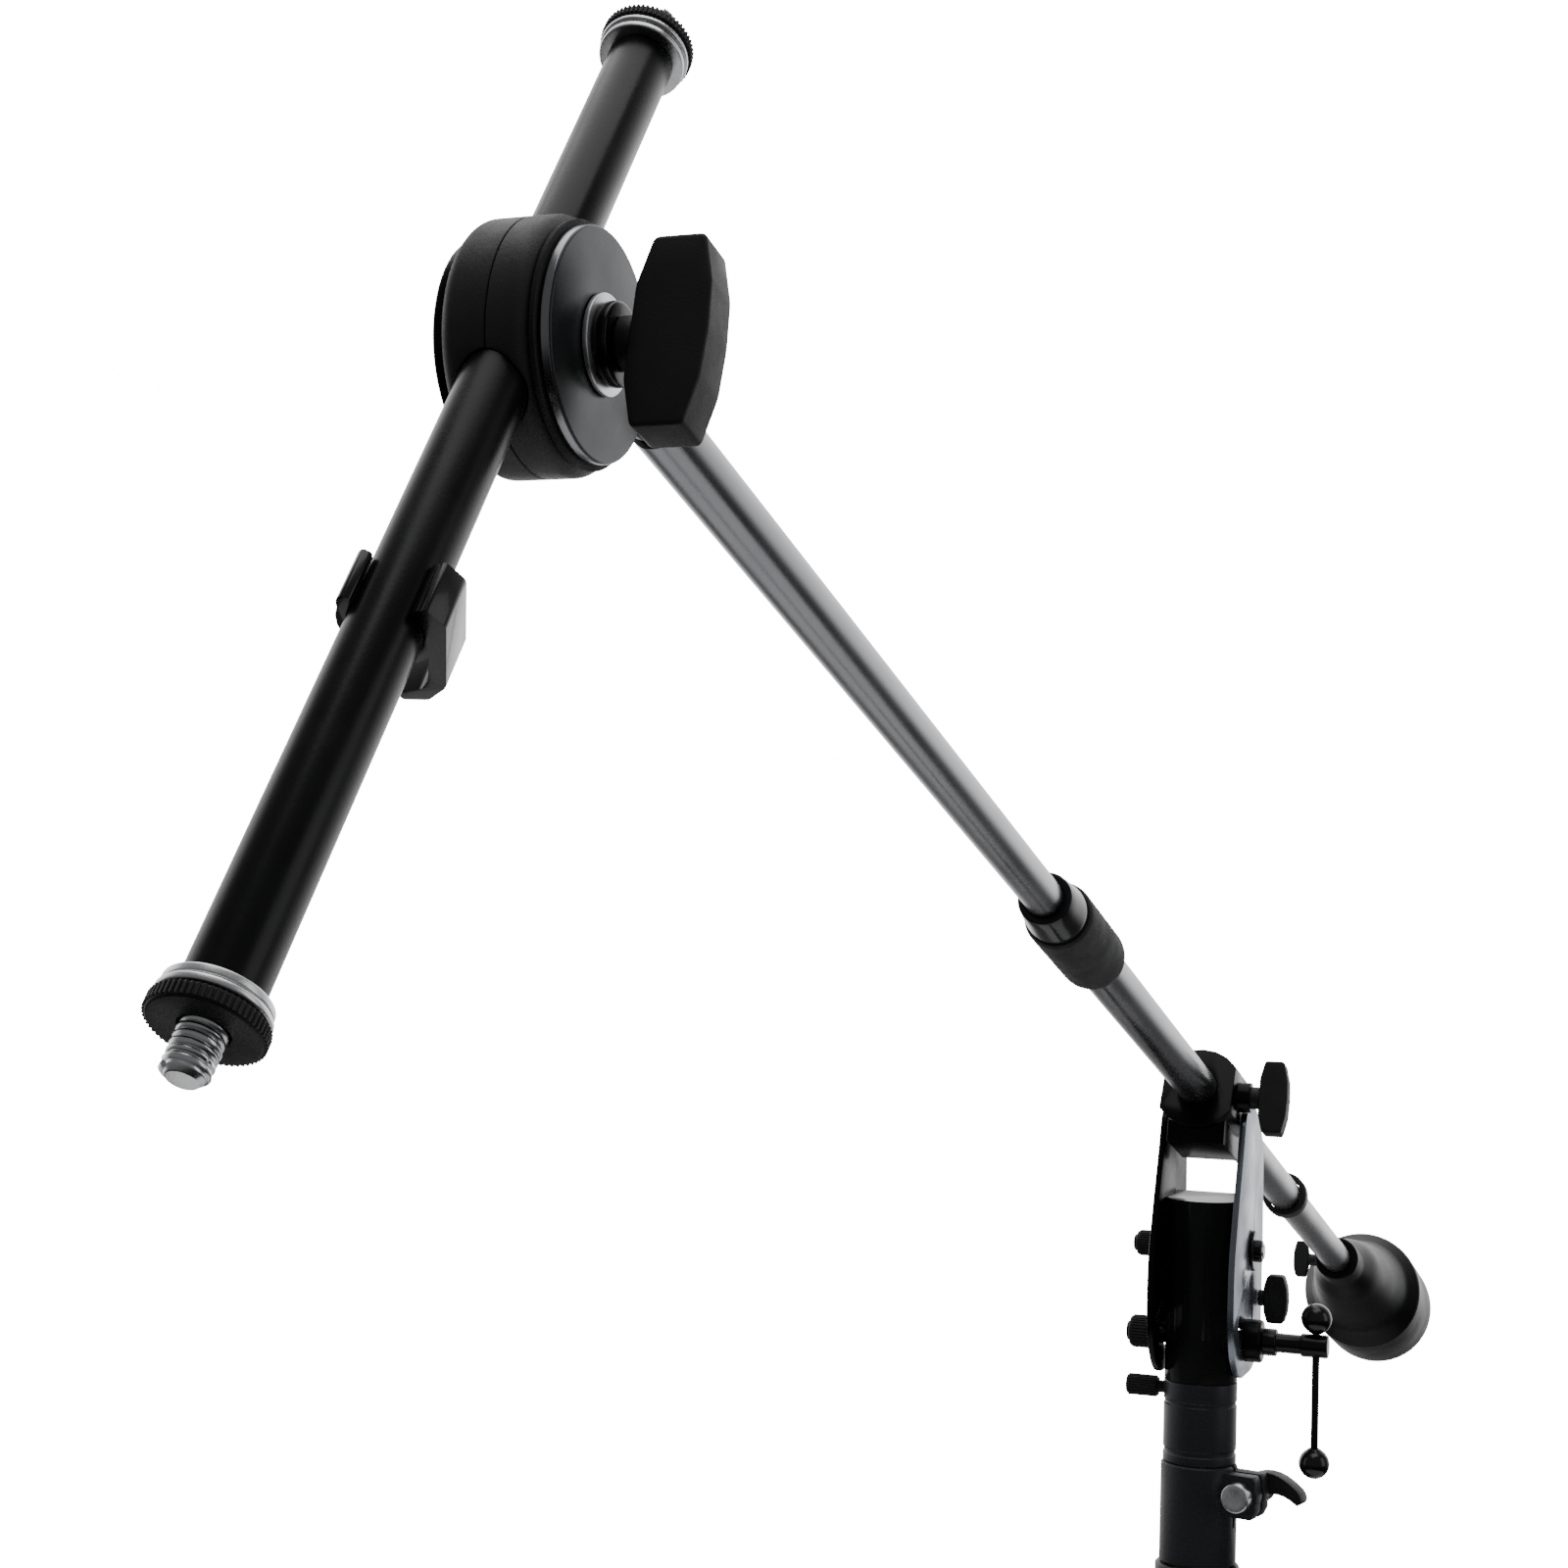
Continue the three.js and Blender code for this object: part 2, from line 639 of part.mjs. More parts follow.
piece(
  "boom_outer_tube",
  alongX(tube(outerBoomRadius, outerBoomRadius - boomWall, boomFront, boomRear)),
  "chrome",
  boom,
);
piece(
  "boom_stop_collar",
  alongX(
    cut(
      softRod(stopRadius, stopPlace, stopPlace + stopLength, 1.5),
      rod(outerBoomRadius + clearance, 0, 600),
    ),
  ),
  "mouldedBlack",
  boom,
);
const tailCap = cut(
  softRod(outerBoomRadius + 2, boomRear - 12, boomRear + 3, 1),
  tube(outerBoomRadius + clearance, outerBoomRadius - boomWall - clearance, boomRear - 20, boomRear + clearance),
);
piece("boom_tail_cap", alongX(tailCap), "rubber", boom);

// Twist grip that locks the inner tube: jaw bush on the outer tube, grip and its mouth ring.
const sliding = innerBoomRadius + clearance;
piece(
  "grip_jaw_bush",
  alongX(tube(bushRadius, sliding, gripFront + 22, boomFront - clearance)),
  "mouldedBlack",
  boom,
);
const mouthRing = [
  [sliding, gripFront],
  [gripMouthRadius, gripFront],
  [gripMouthRadius + 0.8, gripFront + 8],
  [gripRadius - 1.4, gripFront + 18],
  [gripRadius - 1.4, gripFront + 21],
  [sliding, gripFront + 21],
  [sliding, gripFront],
];
piece("grip_mouth_ring", alongX(turned(mouthRing)), "blackPaint", boom);
const gripStart = gripFront + 21 + clearance;
const bushBore = bushRadius + clearance;
const tubeBore = outerBoomRadius + clearance;
const grip = [
  [bushBore, gripStart],
  [gripRadius - 1, gripStart],
  [gripRadius, gripStart + 1.5],
  [gripRadius, gripRear - 6],
  [gripRadius - 1, gripRear - 2.5],
  [gripRadius - 3, gripRear],
  [tubeBore, gripRear],
  [tubeBore, boomFront + 4],
  [bushBore, boomFront + 4],
  [bushBore, gripStart],
];
piece("twist_grip", alongX(turned(grip)), "rubber", boom);

const innerBoomRear = innerBoomFront + innerBoomLength;
piece(
  "boom_inner_tube",
  alongX(tube(innerBoomRadius, innerBoomRadius - boomWall, innerBoomFront, innerBoomRear)),
  "chrome",
  boom,
);

// Counterweight with its neck, and the wing screw in the neck.
const screwAlong = weightFront + 16;
const weightOutline = [
  [tubeBore, weightFront],
  [weightNeckRadius - 1, weightFront],
  [weightNeckRadius, weightFront + 1],
  [weightNeckRadius + 0.5, weightFront + 26],
  [weightNeckRadius + 7, weightFront + 48],
  [weightRadius - 9, weightShoulder - 14],
  [weightRadius - 1.5, weightShoulder - 2],
  [weightRadius, weightShoulder],
  [weightRadius, weightRear - 8],
  [weightRadius - 3, weightRear - 2],
  [weightRadius - 8, weightRear],
  [tubeBore, weightRear],
  [tubeBore, weightFront],
];
const counterweight = cut(
  alongX(turned(weightOutline, 26)),
  alongY(rod(3.3, 0, 40, smallSides)).translate(screwAlong, 0, 0),
);
piece("counterweight", counterweight, "castBlack", boom);
const weightScrew = join(
  wingKnob(4, 5, 15, 24, 8),
  rod(3, -6, 1, smallSides),
).rotateX(-Math.PI / 2);
piece(
  "counterweight_screw",
  weightScrew.translate(screwAlong, weightNeckRadius + 1 + clearance, 0),
  "mouldedBlack",
  boom,
);

// Stem disc: welded to a plug inside the front of the inner tube.
const stemBore = () => alongY(rod(knuckleBoltRadius + clearance, -30, 30, smallSides));
const neckStart = knuckleRadius + 1.5;
const stemDisc = cut(
  join(
    alongY(softRod(stemDiscRadius, -stemDiscHalf, stemDiscHalf, 0.5)),
    block(8, neckStart + 3, -6, 6, -stemDiscHalf, stemDiscHalf).rotateX(Math.PI / 2),
    alongX(rod(innerBoomRadius - boomWall - clearance, neckStart, neckStart + 38, 18)),
  ),
  stemBore(),
);
stemDisc.translate(knuckleAlong, 0, 0);
piece("stem_disc", stemDisc, "greyDisc", boom);

// ---- knuckle -------------------------------------------------------------------------

const knuckle = new THREE.Group(); // +Z runs up the crossbar, +X away from it
knuckle.position.x = knuckleAlong;
knuckle.rotation.y = (90 - crossLean - boomSlope) * degree;
boom.add(knuckle);

const innerFace = stemDiscHalf + clearance; // right face of the friction ring
const ringFace = innerFace + 1.2;
const crossBore = () =>
  rod(crossRadius + clearance, -60, 60).translate(-crossBeside, crossPlane, 0);
const boltBore = (sides = smallSides) =>
  alongY(rod(knuckleBoltRadius + clearance, -60, 80, sides));

piece(
  "friction_ring",
  alongY(tube(knuckleRadius - 1.4, 15, innerFace, ringFace)),
  "mouldedBlack",
  knuckle,
);
function halfShell(low, high, crownHigh) {
  const soft = 2.2;
  const outline = crownHigh
    ? [[0, low], [knuckleRadius, low], [knuckleRadius, high - soft], [knuckleRadius - soft, high], [0, high]]
    : [[0, low], [knuckleRadius - soft, low], [knuckleRadius, low + soft], [knuckleRadius, high], [0, high]];
  return cut(alongY(turned(outline, 20)), crossBore(), boltBore());
}
const seam = clearance / 2;
const shellRightLow = ringFace + clearance;
const shellLeftHigh = crossPlane + seam + shellThickness;
piece("knuckle_shell_right", halfShell(shellRightLow, crossPlane - seam, false), "mouldedBlack", knuckle);
piece("knuckle_shell_left", halfShell(crossPlane + seam, shellLeftHigh, true), "mouldedBlack", knuckle);
piece(
  "knuckle_cap",
  cut(
    alongY(softRod(knuckleRadius - 4, shellLeftHigh + clearance, shellLeftHigh + clearance + capThickness, 1)),
    boltBore(),
  ),
  "castBlack",
  knuckle,
);
const knobFace = -12;
const boltHead = shellLeftHigh + 2 * clearance + capThickness;
piece(
  "knuckle_bolt",
  join(
    alongY(rod(knuckleBoltRadius, knobFace - 6, boltHead + 1, smallSides)),
    alongY(softRod(6.5, boltHead, boltHead + 4, 0.6, 6)),
  ),
  "zinc",
  knuckle,
);
const washerLow = -stemDiscHalf - clearance;
piece(
  "knuckle_washer",
  cut(alongY(rod(11.5, washerLow - 1.2, washerLow, 20)), boltBore()),
  "zinc",
  knuckle,
);
const nutFace = washerLow - 1.2 - clearance;
const nutThickness = 3.2;
piece(
  "knuckle_nut",
  cut(alongY(softRod(9.6, nutFace - nutThickness, nutFace, 0.7, 18)), boltBore()),
  "blackPaint",
  knuckle,
);
const knobStart = nutFace - nutThickness - clearance;
const knuckleKnob = cut(
  wingKnob(6.2, 3.7, 22.4, 46, 12.6).rotateX(Math.PI / 2).translate(0, knobStart, 0),
  alongY(rod(knuckleBoltRadius + clearance, knobFace - 7, 10, smallSides)),
);
// The knob turns with the bolt axis; it stands at its own angle.
const knobHolder = new THREE.Group();
knobHolder.rotation.y = (knobTurn - (90 - crossLean)) * degree;
knuckle.add(knobHolder);
piece("knuckle_wing_knob", knuckleKnob, "mouldedBlack", knobHolder);

// ---- crossbar ------------------------------------------------------------------------

const crossbar = new THREE.Group(); // +Z along the bar
crossbar.position.set(-crossBeside, crossPlane, 0);
knuckle.add(crossbar);
piece("crossbar_tube", tube(crossRadius, crossRadius - crossWall, crossNear, crossFar), "blackPaint", crossbar);

// Each end: a plug with a flange and a stud, a loose ring, and a knurled lock disc.
function crossbarEnd(side, place, suffix) {
  const plugRadius = crossRadius - crossWall - clearance;
  const flangeLow = clearance;
  const flangeHigh = flangeLow + flangeThickness;
  const ringLow = flangeHigh + clearance;
  const ringHigh = ringLow + ringThickness;
  const discLow = ringHigh + clearance;
  const discHigh = discLow + discThickness;
  const tip = discHigh + studLength;
  const toEnd = (shape) => (side > 0 ? shape : shape.rotateX(Math.PI)).translate(0, 0, place);
  const plug = turned(
    [
      [0, -16],
      [plugRadius, -16],
      [plugRadius, flangeLow],
      [flangeRadius, flangeLow],
      [flangeRadius, flangeHigh],
      [studRadius, flangeHigh],
      [studRadius, tip - 1.3],
      [studRadius - 1.3, tip],
      [0, tip],
    ],
    20,
  );
  piece(`end_stud_${suffix}`, toEnd(plug), "zinc", crossbar);
  const ring = tube(flangeRadius + 0.5, studRadius + clearance, ringLow, ringHigh);
  piece(`end_ring_${suffix}`, toEnd(ring), "zinc", crossbar);
  const disc = [
    [studRadius + clearance, discLow],
    [discRadius - 0.6, discLow],
    [discRadius, discLow + 0.6],
    [discRadius, discHigh - 0.6],
    [discRadius - 0.6, discHigh],
    [studRadius + clearance, discHigh],
    [studRadius + clearance, discLow],
  ];
  piece(`lock_disc_${suffix}`, toEnd(turned(disc, 18)), "mouldedBlack", crossbar);
}
crossbarEnd(-1, crossNear, "near");
crossbarEnd(1, crossFar, "far");

// Snap-on cable clip: an open ring round the bar, with an arm that hooks round the cable behind it.
function cableClip() {
  const arc = (shape, radius, from, to, steps) => {
    for (let i = 0; i <= steps; i++) {
      const angle = (from + ((to - from) * i) / steps) * degree;
      shape.push([radius * Math.cos(angle), radius * Math.sin(angle)]);
    }
  };
  const inside = crossRadius + clearance;
  const ring = [];
  arc(ring, inside + clipWall, -118, 147, 16);
  arc(ring, inside, 147, -118, 16);
  const arm = [
    [-5.2, -11],
    [0, -13.6],
    [17.6, -6.4],
    [21.2, -1],
    [21, 5.2],
    [18.4, 5.2],
    [18, -0.4],
    [15.6, -3],
    [6.4, -7.2],
    [-0.5, -9.2],
    [-3.8, -7.9],
  ];
  const bead = [[-7.2, 4.5], [-6, 6.4], [-6.4, 8.3], [-8.6, 7.4], [-9.6, 5.8], [-8.4, 4.2]];
  const options = { depth: clipLength, bevelEnabled: false, curveSegments: 3 };
  const grow = inside / 8.3;
  const scaled = (points) => points.map(([x, y]) => [x * grow, y * grow]);
  return join(
    new THREE.ExtrudeGeometry(outlineOf(ring), options),
    new THREE.ExtrudeGeometry(roundedOutline(scaled(arm), 0.9), options),
    new THREE.ExtrudeGeometry(roundedOutline(scaled(bead), 0.7), options),
  ).translate(0, 0, -clipLength / 2);
}
piece("cable_clip", cableClip().translate(0, 0, clipMiddle), "mouldedBlack", crossbar);

export default stand;
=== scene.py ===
import bpy
import bmesh
import math
from mathutils import Matrix, Vector


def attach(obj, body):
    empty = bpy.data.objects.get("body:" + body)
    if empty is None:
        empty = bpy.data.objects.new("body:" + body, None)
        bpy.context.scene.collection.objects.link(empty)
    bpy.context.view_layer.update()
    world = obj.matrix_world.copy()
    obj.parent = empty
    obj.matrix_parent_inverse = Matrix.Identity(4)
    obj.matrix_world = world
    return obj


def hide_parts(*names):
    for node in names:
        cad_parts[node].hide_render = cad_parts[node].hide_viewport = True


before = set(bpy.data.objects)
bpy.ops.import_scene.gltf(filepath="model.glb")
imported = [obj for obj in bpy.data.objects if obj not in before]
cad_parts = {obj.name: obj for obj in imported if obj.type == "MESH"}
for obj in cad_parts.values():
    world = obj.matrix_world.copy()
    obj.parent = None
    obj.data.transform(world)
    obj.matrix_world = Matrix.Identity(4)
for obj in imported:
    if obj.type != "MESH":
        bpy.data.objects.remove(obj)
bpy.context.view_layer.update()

# ---- tripod base ---------------------------------------------------------------------
# The hub is one iron casting with a socket for each leg and a sleeve for the mast.
# It is painted satin black over a fine sand-cast skin, and its edges are ground soft.
MM = 0.001
UPRIGHT = Matrix.Identity(4)
FACE_ALONG_X = Matrix.Rotation(math.pi / 2, 4, "Y")
FACE_ALONG_Y = Matrix.Rotation(-math.pi / 2, 4, "X")


def finish(
    name,
    colour,
    roughness,
    metallic=0.0,
    grain=900.0,
    depth=0.1,
    vary=0.25,
    coat=0.0,
    stretch=(1, 1, 1),
    worn=None,
    uneven=0.12,
    sheen=0.0,
    gloss=0.5,
):
    """A finish with fine grain in its surface, cloudy roughness and, on paint, bare edges."""
    made = bpy.data.materials.new(name)
    made.use_nodes = True
    tree = made.node_tree
    shader = tree.nodes["Principled BSDF"]
    link = tree.links.new

    def add(kind, **values):
        node = tree.nodes.new(kind)
        for key, value in values.items():
            setattr(node, key, value)
        return node

    place = add("ShaderNodeTexCoord")
    mapping = add("ShaderNodeMapping")
    mapping.inputs["Scale"].default_value = stretch
    link(place.outputs["Object"], mapping.inputs["Vector"])
    fine = add("ShaderNodeTexNoise")
    fine.inputs["Scale"].default_value = grain
    fine.inputs["Detail"].default_value = 4.0
    cloud = add("ShaderNodeTexNoise")
    cloud.inputs["Scale"].default_value = grain / 22.0
    cloud.inputs["Detail"].default_value = 6.0
    for noise in (fine, cloud):
        link(mapping.outputs["Vector"], noise.inputs["Vector"])
    tint = add("ShaderNodeMix", data_type="RGBA")
    link(cloud.outputs["Fac"], tint.inputs["Factor"])
    low = [max(0.0, c * (1.0 - vary)) for c in colour]
    high = [min(1.0, c * (1.0 + vary)) for c in colour]
    tint.inputs["A"].default_value = (*low, 1)
    tint.inputs["B"].default_value = (*high, 1)
    shown = tint.outputs["Result"]
    if worn:
        edge = add("ShaderNodeNewGeometry")
        where = add("ShaderNodeMapRange")
        where.inputs["From Min"].default_value = 0.56
        where.inputs["From Max"].default_value = 0.68
        link(edge.outputs["Pointiness"], where.inputs["Value"])
        patchy = add("ShaderNodeMath", operation="MULTIPLY")
        link(where.outputs["Result"], patchy.inputs[0])
        link(cloud.outputs["Fac"], patchy.inputs[1])
        bare = add("ShaderNodeMix", data_type="RGBA")
        link(patchy.outputs["Value"], bare.inputs["Factor"])
        link(shown, bare.inputs["A"])
        bare.inputs["B"].default_value = (*worn, 1)
        shown = bare.outputs["Result"]
    link(shown, shader.inputs["Base Color"])
    rough = add("ShaderNodeMapRange")
    rough.inputs["To Min"].default_value = max(0.02, roughness - uneven)
    rough.inputs["To Max"].default_value = min(1.0, roughness + uneven)
    rough.inputs["From Min"].default_value = 0.3
    rough.inputs["From Max"].default_value = 0.7
    link(cloud.outputs["Fac"], rough.inputs["Value"])
    link(rough.outputs["Result"], shader.inputs["Roughness"])
    shader.inputs["Metallic"].default_value = metallic
    shader.inputs["Coat Weight"].default_value = coat
    shader.inputs["Sheen Weight"].default_value = sheen
    shader.inputs["Specular IOR Level"].default_value = gloss
    bump = add("ShaderNodeBump")
    bump.inputs["Strength"].default_value = depth
    bump.inputs["Distance"].default_value = 0.0004
    link(fine.outputs["Fac"], bump.inputs["Height"])
    link(bump.outputs["Normal"], shader.inputs["Normal"])
    return made


def settle(made, body, material, slot, *nodes, sharp=32):
    """Smooths a finished mesh except at its sharp edges, gives it its finish and its body."""
    made.data.materials.clear()
    made.data.materials.append(material)
    made.data.polygons.foreach_set("use_smooth", [True] * len(made.data.polygons))
    made.data.set_sharp_from_angle(angle=math.radians(sharp))
    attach(made, body)
    if nodes:
        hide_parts(*nodes)
    return made


def object_from(name, shape):
    data = bpy.data.meshes.new(name)
    shape.to_mesh(data)
    shape.free()
    made = bpy.data.objects.new(name, data)
    bpy.context.collection.objects.link(made)
    return made


def dressed(node, edge, segments=2, name=None):
    """The node's own shape as whole faces, with its edges rounded by edge millimetres."""
    shape = bmesh.new()
    shape.from_mesh(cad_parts[node].data)
    bmesh.ops.remove_doubles(shape, verts=shape.verts, dist=2e-6)
    bmesh.ops.dissolve_limit(
        shape, angle_limit=math.radians(1.2), verts=shape.verts, edges=shape.edges
    )
    made = object_from(name or node + "_piece", shape)
    soft = made.modifiers.new("edges", "BEVEL")
    soft.width = edge * MM
    soft.segments = segments
    soft.limit_method = "ANGLE"
    soft.angle_limit = math.radians(33)
    soft.harden_normals = False
    return applied(made)


def applied(made):
    """Bakes the piece's modifiers into its mesh."""
    scene_now = bpy.context.evaluated_depsgraph_get()
    data = bpy.data.meshes.new_from_object(made.evaluated_get(scene_now))
    made.modifiers.clear()
    made.data = data
    return made


sand_cast_paint = finish(
    "sand_cast_paint", (0.030, 0.031, 0.036), 0.42, grain=700, depth=0.22, gloss=0.35,
    worn=(0.05, 0.05, 0.05),
)
gloss_paint = finish(
    "gloss_paint", (0.006, 0.006, 0.007), 0.22, grain=500, depth=0.05, gloss=0.35, uneven=0.05
)
moulded_black = finish(
    "moulded_black", (0.028, 0.028, 0.030), 0.48, grain=1500, depth=0.16, gloss=0.3
)
hub = dressed("base_hub", 1.2)
settle(hub, "root", sand_cast_paint, "cast_black", "base_hub")

# ---- legs and feet -------------------------------------------------------------------
# Each leg is a painted steel tube pressed into its socket, dropping slightly outward.
# A moulded rubber foot with a ribbed sole is pushed over its end.
rubber = finish(
    "rubber", (0.020, 0.020, 0.021), 0.78, grain=2600, depth=0.35, vary=0.15, sheen=0.1
)
LEG_REACH = 430
LEG_HEIGHT = 18
LEG_DROP = 3.2


def rounded(outline, closed):
    """The outline's corners (radius, height, fillet) with each fillet turned into points."""
    count = len(outline)
    points = []
    for i, (radius, height, fillet) in enumerate(outline):
        here = Vector((radius, height))
        if fillet <= 0 or (not closed and i in (0, count - 1)):
            points.append(here)
            continue
        before = Vector(outline[i - 1][:2])
        after = Vector(outline[(i + 1) % count][:2])
        reach = min(fillet, (before - here).length * 0.48, (after - here).length * 0.48)
        start = here + (before - here).normalized() * reach
        end = here + (after - here).normalized() * reach
        for step in range(5):
            t = step / 4
            points.append(start * (1 - t) ** 2 + here * 2 * t * (1 - t) + end * t * t)
    return points


def turned(name, outline, place, sides=96, closed=False):
    """A solid of revolution about +Z from (radius, height, fillet) corners, then placed."""
    points = rounded(outline, closed)
    shape = bmesh.new()
    rings = []
    for point in points:
        if point.x < 1e-6:
            rings.append([shape.verts.new((0, 0, point.y * MM))])
            continue
        ring = []
        for k in range(sides):
            angle = 2 * math.pi * k / sides
            ring.append(
                shape.verts.new(
                    (point.x * MM * math.cos(angle), point.x * MM * math.sin(angle), point.y * MM)
                )
            )
        rings.append(ring)
    pairs = list(zip(rings, rings[1:]))
    if closed:
        pairs.append((rings[-1], rings[0]))
    for lower, upper in pairs:
        for k in range(sides):
            n = (k + 1) % sides
            if len(lower) == 1 and len(upper) == 1:
                break
            if len(lower) == 1:
                shape.faces.new((lower[0], upper[n], upper[k]))
            elif len(upper) == 1:
                shape.faces.new((lower[k], lower[n], upper[0]))
            else:
                shape.faces.new((lower[k], lower[n], upper[n], upper[k]))
    bmesh.ops.remove_doubles(shape, verts=shape.verts, dist=1e-7)
    bmesh.ops.recalc_face_normals(shape, faces=shape.faces)
    metres = place.copy()
    metres.translation = place.translation * MM
    shape.transform(metres)
    return object_from(name, shape)


def pipe(name, outer, inner, low, high, place, edge=0.4, sides=96):
    corners = [(inner, low, edge), (outer, low, edge), (outer, high, edge), (inner, high, edge)]
    return turned(name, corners, place, sides, closed=True)


for number in range(3):
    leg_place = (
        Matrix.Rotation(number * 2 * math.pi / 3, 4, "Z")
        @ Matrix.Translation((0, 0, LEG_HEIGHT))
        @ Matrix.Rotation(math.radians(90 + LEG_DROP), 4, "Y")
    )
    leg = pipe(f"leg_tube_{number + 1}", 12.5, 10.5, 40.3, LEG_REACH + 4, leg_place)
    settle(leg, "root", gloss_paint, "black_paint", f"leg_{number + 1}")
    foot = dressed(f"foot_{number + 1}", 1.6, 3)
    settle(foot, "root", rubber, "rubber", f"foot_{number + 1}")
    for rib in range(4):
        place = leg_place @ Matrix.Translation((0, 0, LEG_REACH - 27 + 7 * rib))
        band = pipe(f"foot_{number + 1}_rib_{rib + 1}", 16.6, 15.6, 0, 2.4, place, 0.7, 48)
        settle(band, "root", rubber, "rubber")

# ---- mast tubes ----------------------------------------------------------------------
# Three steel tubes that slide one inside the next, drawn and painted dark satin grey.
# Each has its top end rolled in a little so that the clamp's bush starts on to it.
satin_grey = finish(
    "satin_grey", (0.040, 0.042, 0.050), 0.38, metallic=0.25, grain=1100, depth=0.08,
    stretch=(1, 1, 0.15), uneven=0.07, gloss=0.4,
)
BOOM_HEIGHT = 1100
SWIVEL_TOP = BOOM_HEIGHT - 139
SWIVEL_LOW = SWIVEL_TOP - 40
CLAMP_HEIGHT = 49
MIDDLE_CLAMP_LOW = SWIVEL_LOW - 0.3 - CLAMP_HEIGHT
OUTER_CLAMP_LOW = MIDDLE_CLAMP_LOW - 0.3 - CLAMP_HEIGHT
inner_top = SWIVEL_TOP - 24
for body, radius, low, high in (
    ("inner_mast", 14, inner_top - 640, inner_top),
    ("middle_mast", 16, MIDDLE_CLAMP_LOW + 16 - 640, MIDDLE_CLAMP_LOW + 16),
    ("root", 18, 8.3, OUTER_CLAMP_LOW + 16),
):
    part = "outer" if body == "root" else body.split("_")[0]
    drawn = pipe(f"mast_{part}_drawn", radius, radius - 1.5, low, high, UPRIGHT, 0.6)
    settle(drawn, body, satin_grey, "mast_finish", f"mast_{part}_tube")

# ---- swivel collar -------------------------------------------------------------------
# A turned steel collar pressed on the inner tube; the head's spigot turns inside it.
# Two shallow grooves run round it, and a knurled screw in its side locks the spigot.
collar_corners = [
    (14.3, SWIVEL_LOW, 0.3),
    (18, SWIVEL_LOW, 0.8),
    (18, SWIVEL_LOW + 4, 0.2),
    (17.5, SWIVEL_LOW + 4.5, 0.2),
    (17.5, SWIVEL_LOW + 6.5, 0.2),
    (18, SWIVEL_LOW + 7, 0.2),
    (18, SWIVEL_TOP - 12, 0.2),
    (17.5, SWIVEL_TOP - 11.5, 0.2),
    (17.5, SWIVEL_TOP - 10, 0.2),
    (18, SWIVEL_TOP - 9.5, 0.2),
    (18, SWIVEL_TOP - 0.3, 0.8),
    (12.8, SWIVEL_TOP - 0.3, 0.3),
    (12.8, inner_top + 0.3, 0),
    (14.3, inner_top + 0.3, 0),
]
collar = turned("swivel_collar_turned", collar_corners, UPRIGHT, closed=True)
settle(collar, "inner_mast", satin_grey, "mast_finish", "swivel_collar")


def knurl_tree():
    """Upright ridges standing round a circle: count, circle, height and ridge thickness."""
    tree = bpy.data.node_groups.new("knurled_rim", "GeometryNodeTree")
    for title, kind in (
        ("Ridge count", "NodeSocketInt"),
        ("Circle radius", "NodeSocketFloat"),
        ("Ridge height", "NodeSocketFloat"),
        ("Ridge radius", "NodeSocketFloat"),
        ("Finish", "NodeSocketMaterial"),
    ):
        tree.interface.new_socket(title, in_out="INPUT", socket_type=kind)
    tree.interface.new_socket("Ridges", in_out="OUTPUT", socket_type="NodeSocketGeometry")
    given = tree.nodes.new("NodeGroupInput")
    out = tree.nodes.new("NodeGroupOutput")
    circle = tree.nodes.new("GeometryNodeMeshCircle")
    ridge = tree.nodes.new("GeometryNodeMeshCylinder")
    ridge.inputs["Vertices"].default_value = 8
    stand = tree.nodes.new("GeometryNodeInstanceOnPoints")
    whole = tree.nodes.new("GeometryNodeRealizeInstances")
    paint = tree.nodes.new("GeometryNodeSetMaterial")
    link = tree.links.new
    link(given.outputs["Ridge count"], circle.inputs["Vertices"])
    link(given.outputs["Circle radius"], circle.inputs["Radius"])
    link(given.outputs["Ridge height"], ridge.inputs["Depth"])
    link(given.outputs["Ridge radius"], ridge.inputs["Radius"])
    link(circle.outputs["Mesh"], stand.inputs["Points"])
    link(ridge.outputs["Mesh"], stand.inputs["Instance"])
    link(stand.outputs["Instances"], whole.inputs["Geometry"])
    link(whole.outputs["Geometry"], paint.inputs["Geometry"])
    link(given.outputs["Finish"], paint.inputs["Material"])
    link(paint.outputs["Geometry"], out.inputs["Ridges"])
    return tree


def grown(name, tree, values, place):
    """One run of a node tree with these input values, as a plain mesh in its place."""
    made = bpy.data.objects.new(name, bpy.data.meshes.new(name))
    bpy.context.collection.objects.link(made)
    run = made.modifiers.new("tree", "NODES")
    run.node_group = tree
    for item in tree.interface.items_tree:
        if item.in_out == "INPUT" and item.name in values:
            run[item.identifier] = values[item.name]
    applied(made)
    metres = place.copy()
    metres.translation = place.translation * MM
    made.data.transform(metres)
    return made


knurls = knurl_tree()


def knurled(name, body, radius, low, high, count, place, material, slot, ridge=0.45):
    values = {
        "Ridge count": count,
        "Circle radius": (radius - ridge * 0.35) * MM,
        "Ridge height": (high - low) * MM,
        "Ridge radius": ridge * MM,
        "Finish": material,
    }
    middle = place @ Matrix.Translation((0, 0, (low + high) / 2))
    ridges = grown(name, knurls, values, middle)
    return settle(ridges, body, material, slot)


screw_place = Matrix.Translation((0, 0, SWIVEL_TOP - 5.5)) @ FACE_ALONG_Y
screw_corners = [
    (0, 12.9, 0), (3, 12.9, 0.3), (3, 21, 0), (4.7, 21, 0.8), (4.7, 37, 1.0), (2.4, 37, 0.3),
    (2.2, 36.4, 0.2), (0, 36.4, 0),
]
thumb = turned("swivel_screw_turned", screw_corners, screw_place, 48)
settle(thumb, "swivel_screw", moulded_black, "moulded_black", "swivel_thumbscrew")
knurled(
    "swivel_screw_knurl", "swivel_screw", 5, 22, 36, 26, screw_place, moulded_black,
    "moulded_black", 0.4,
)

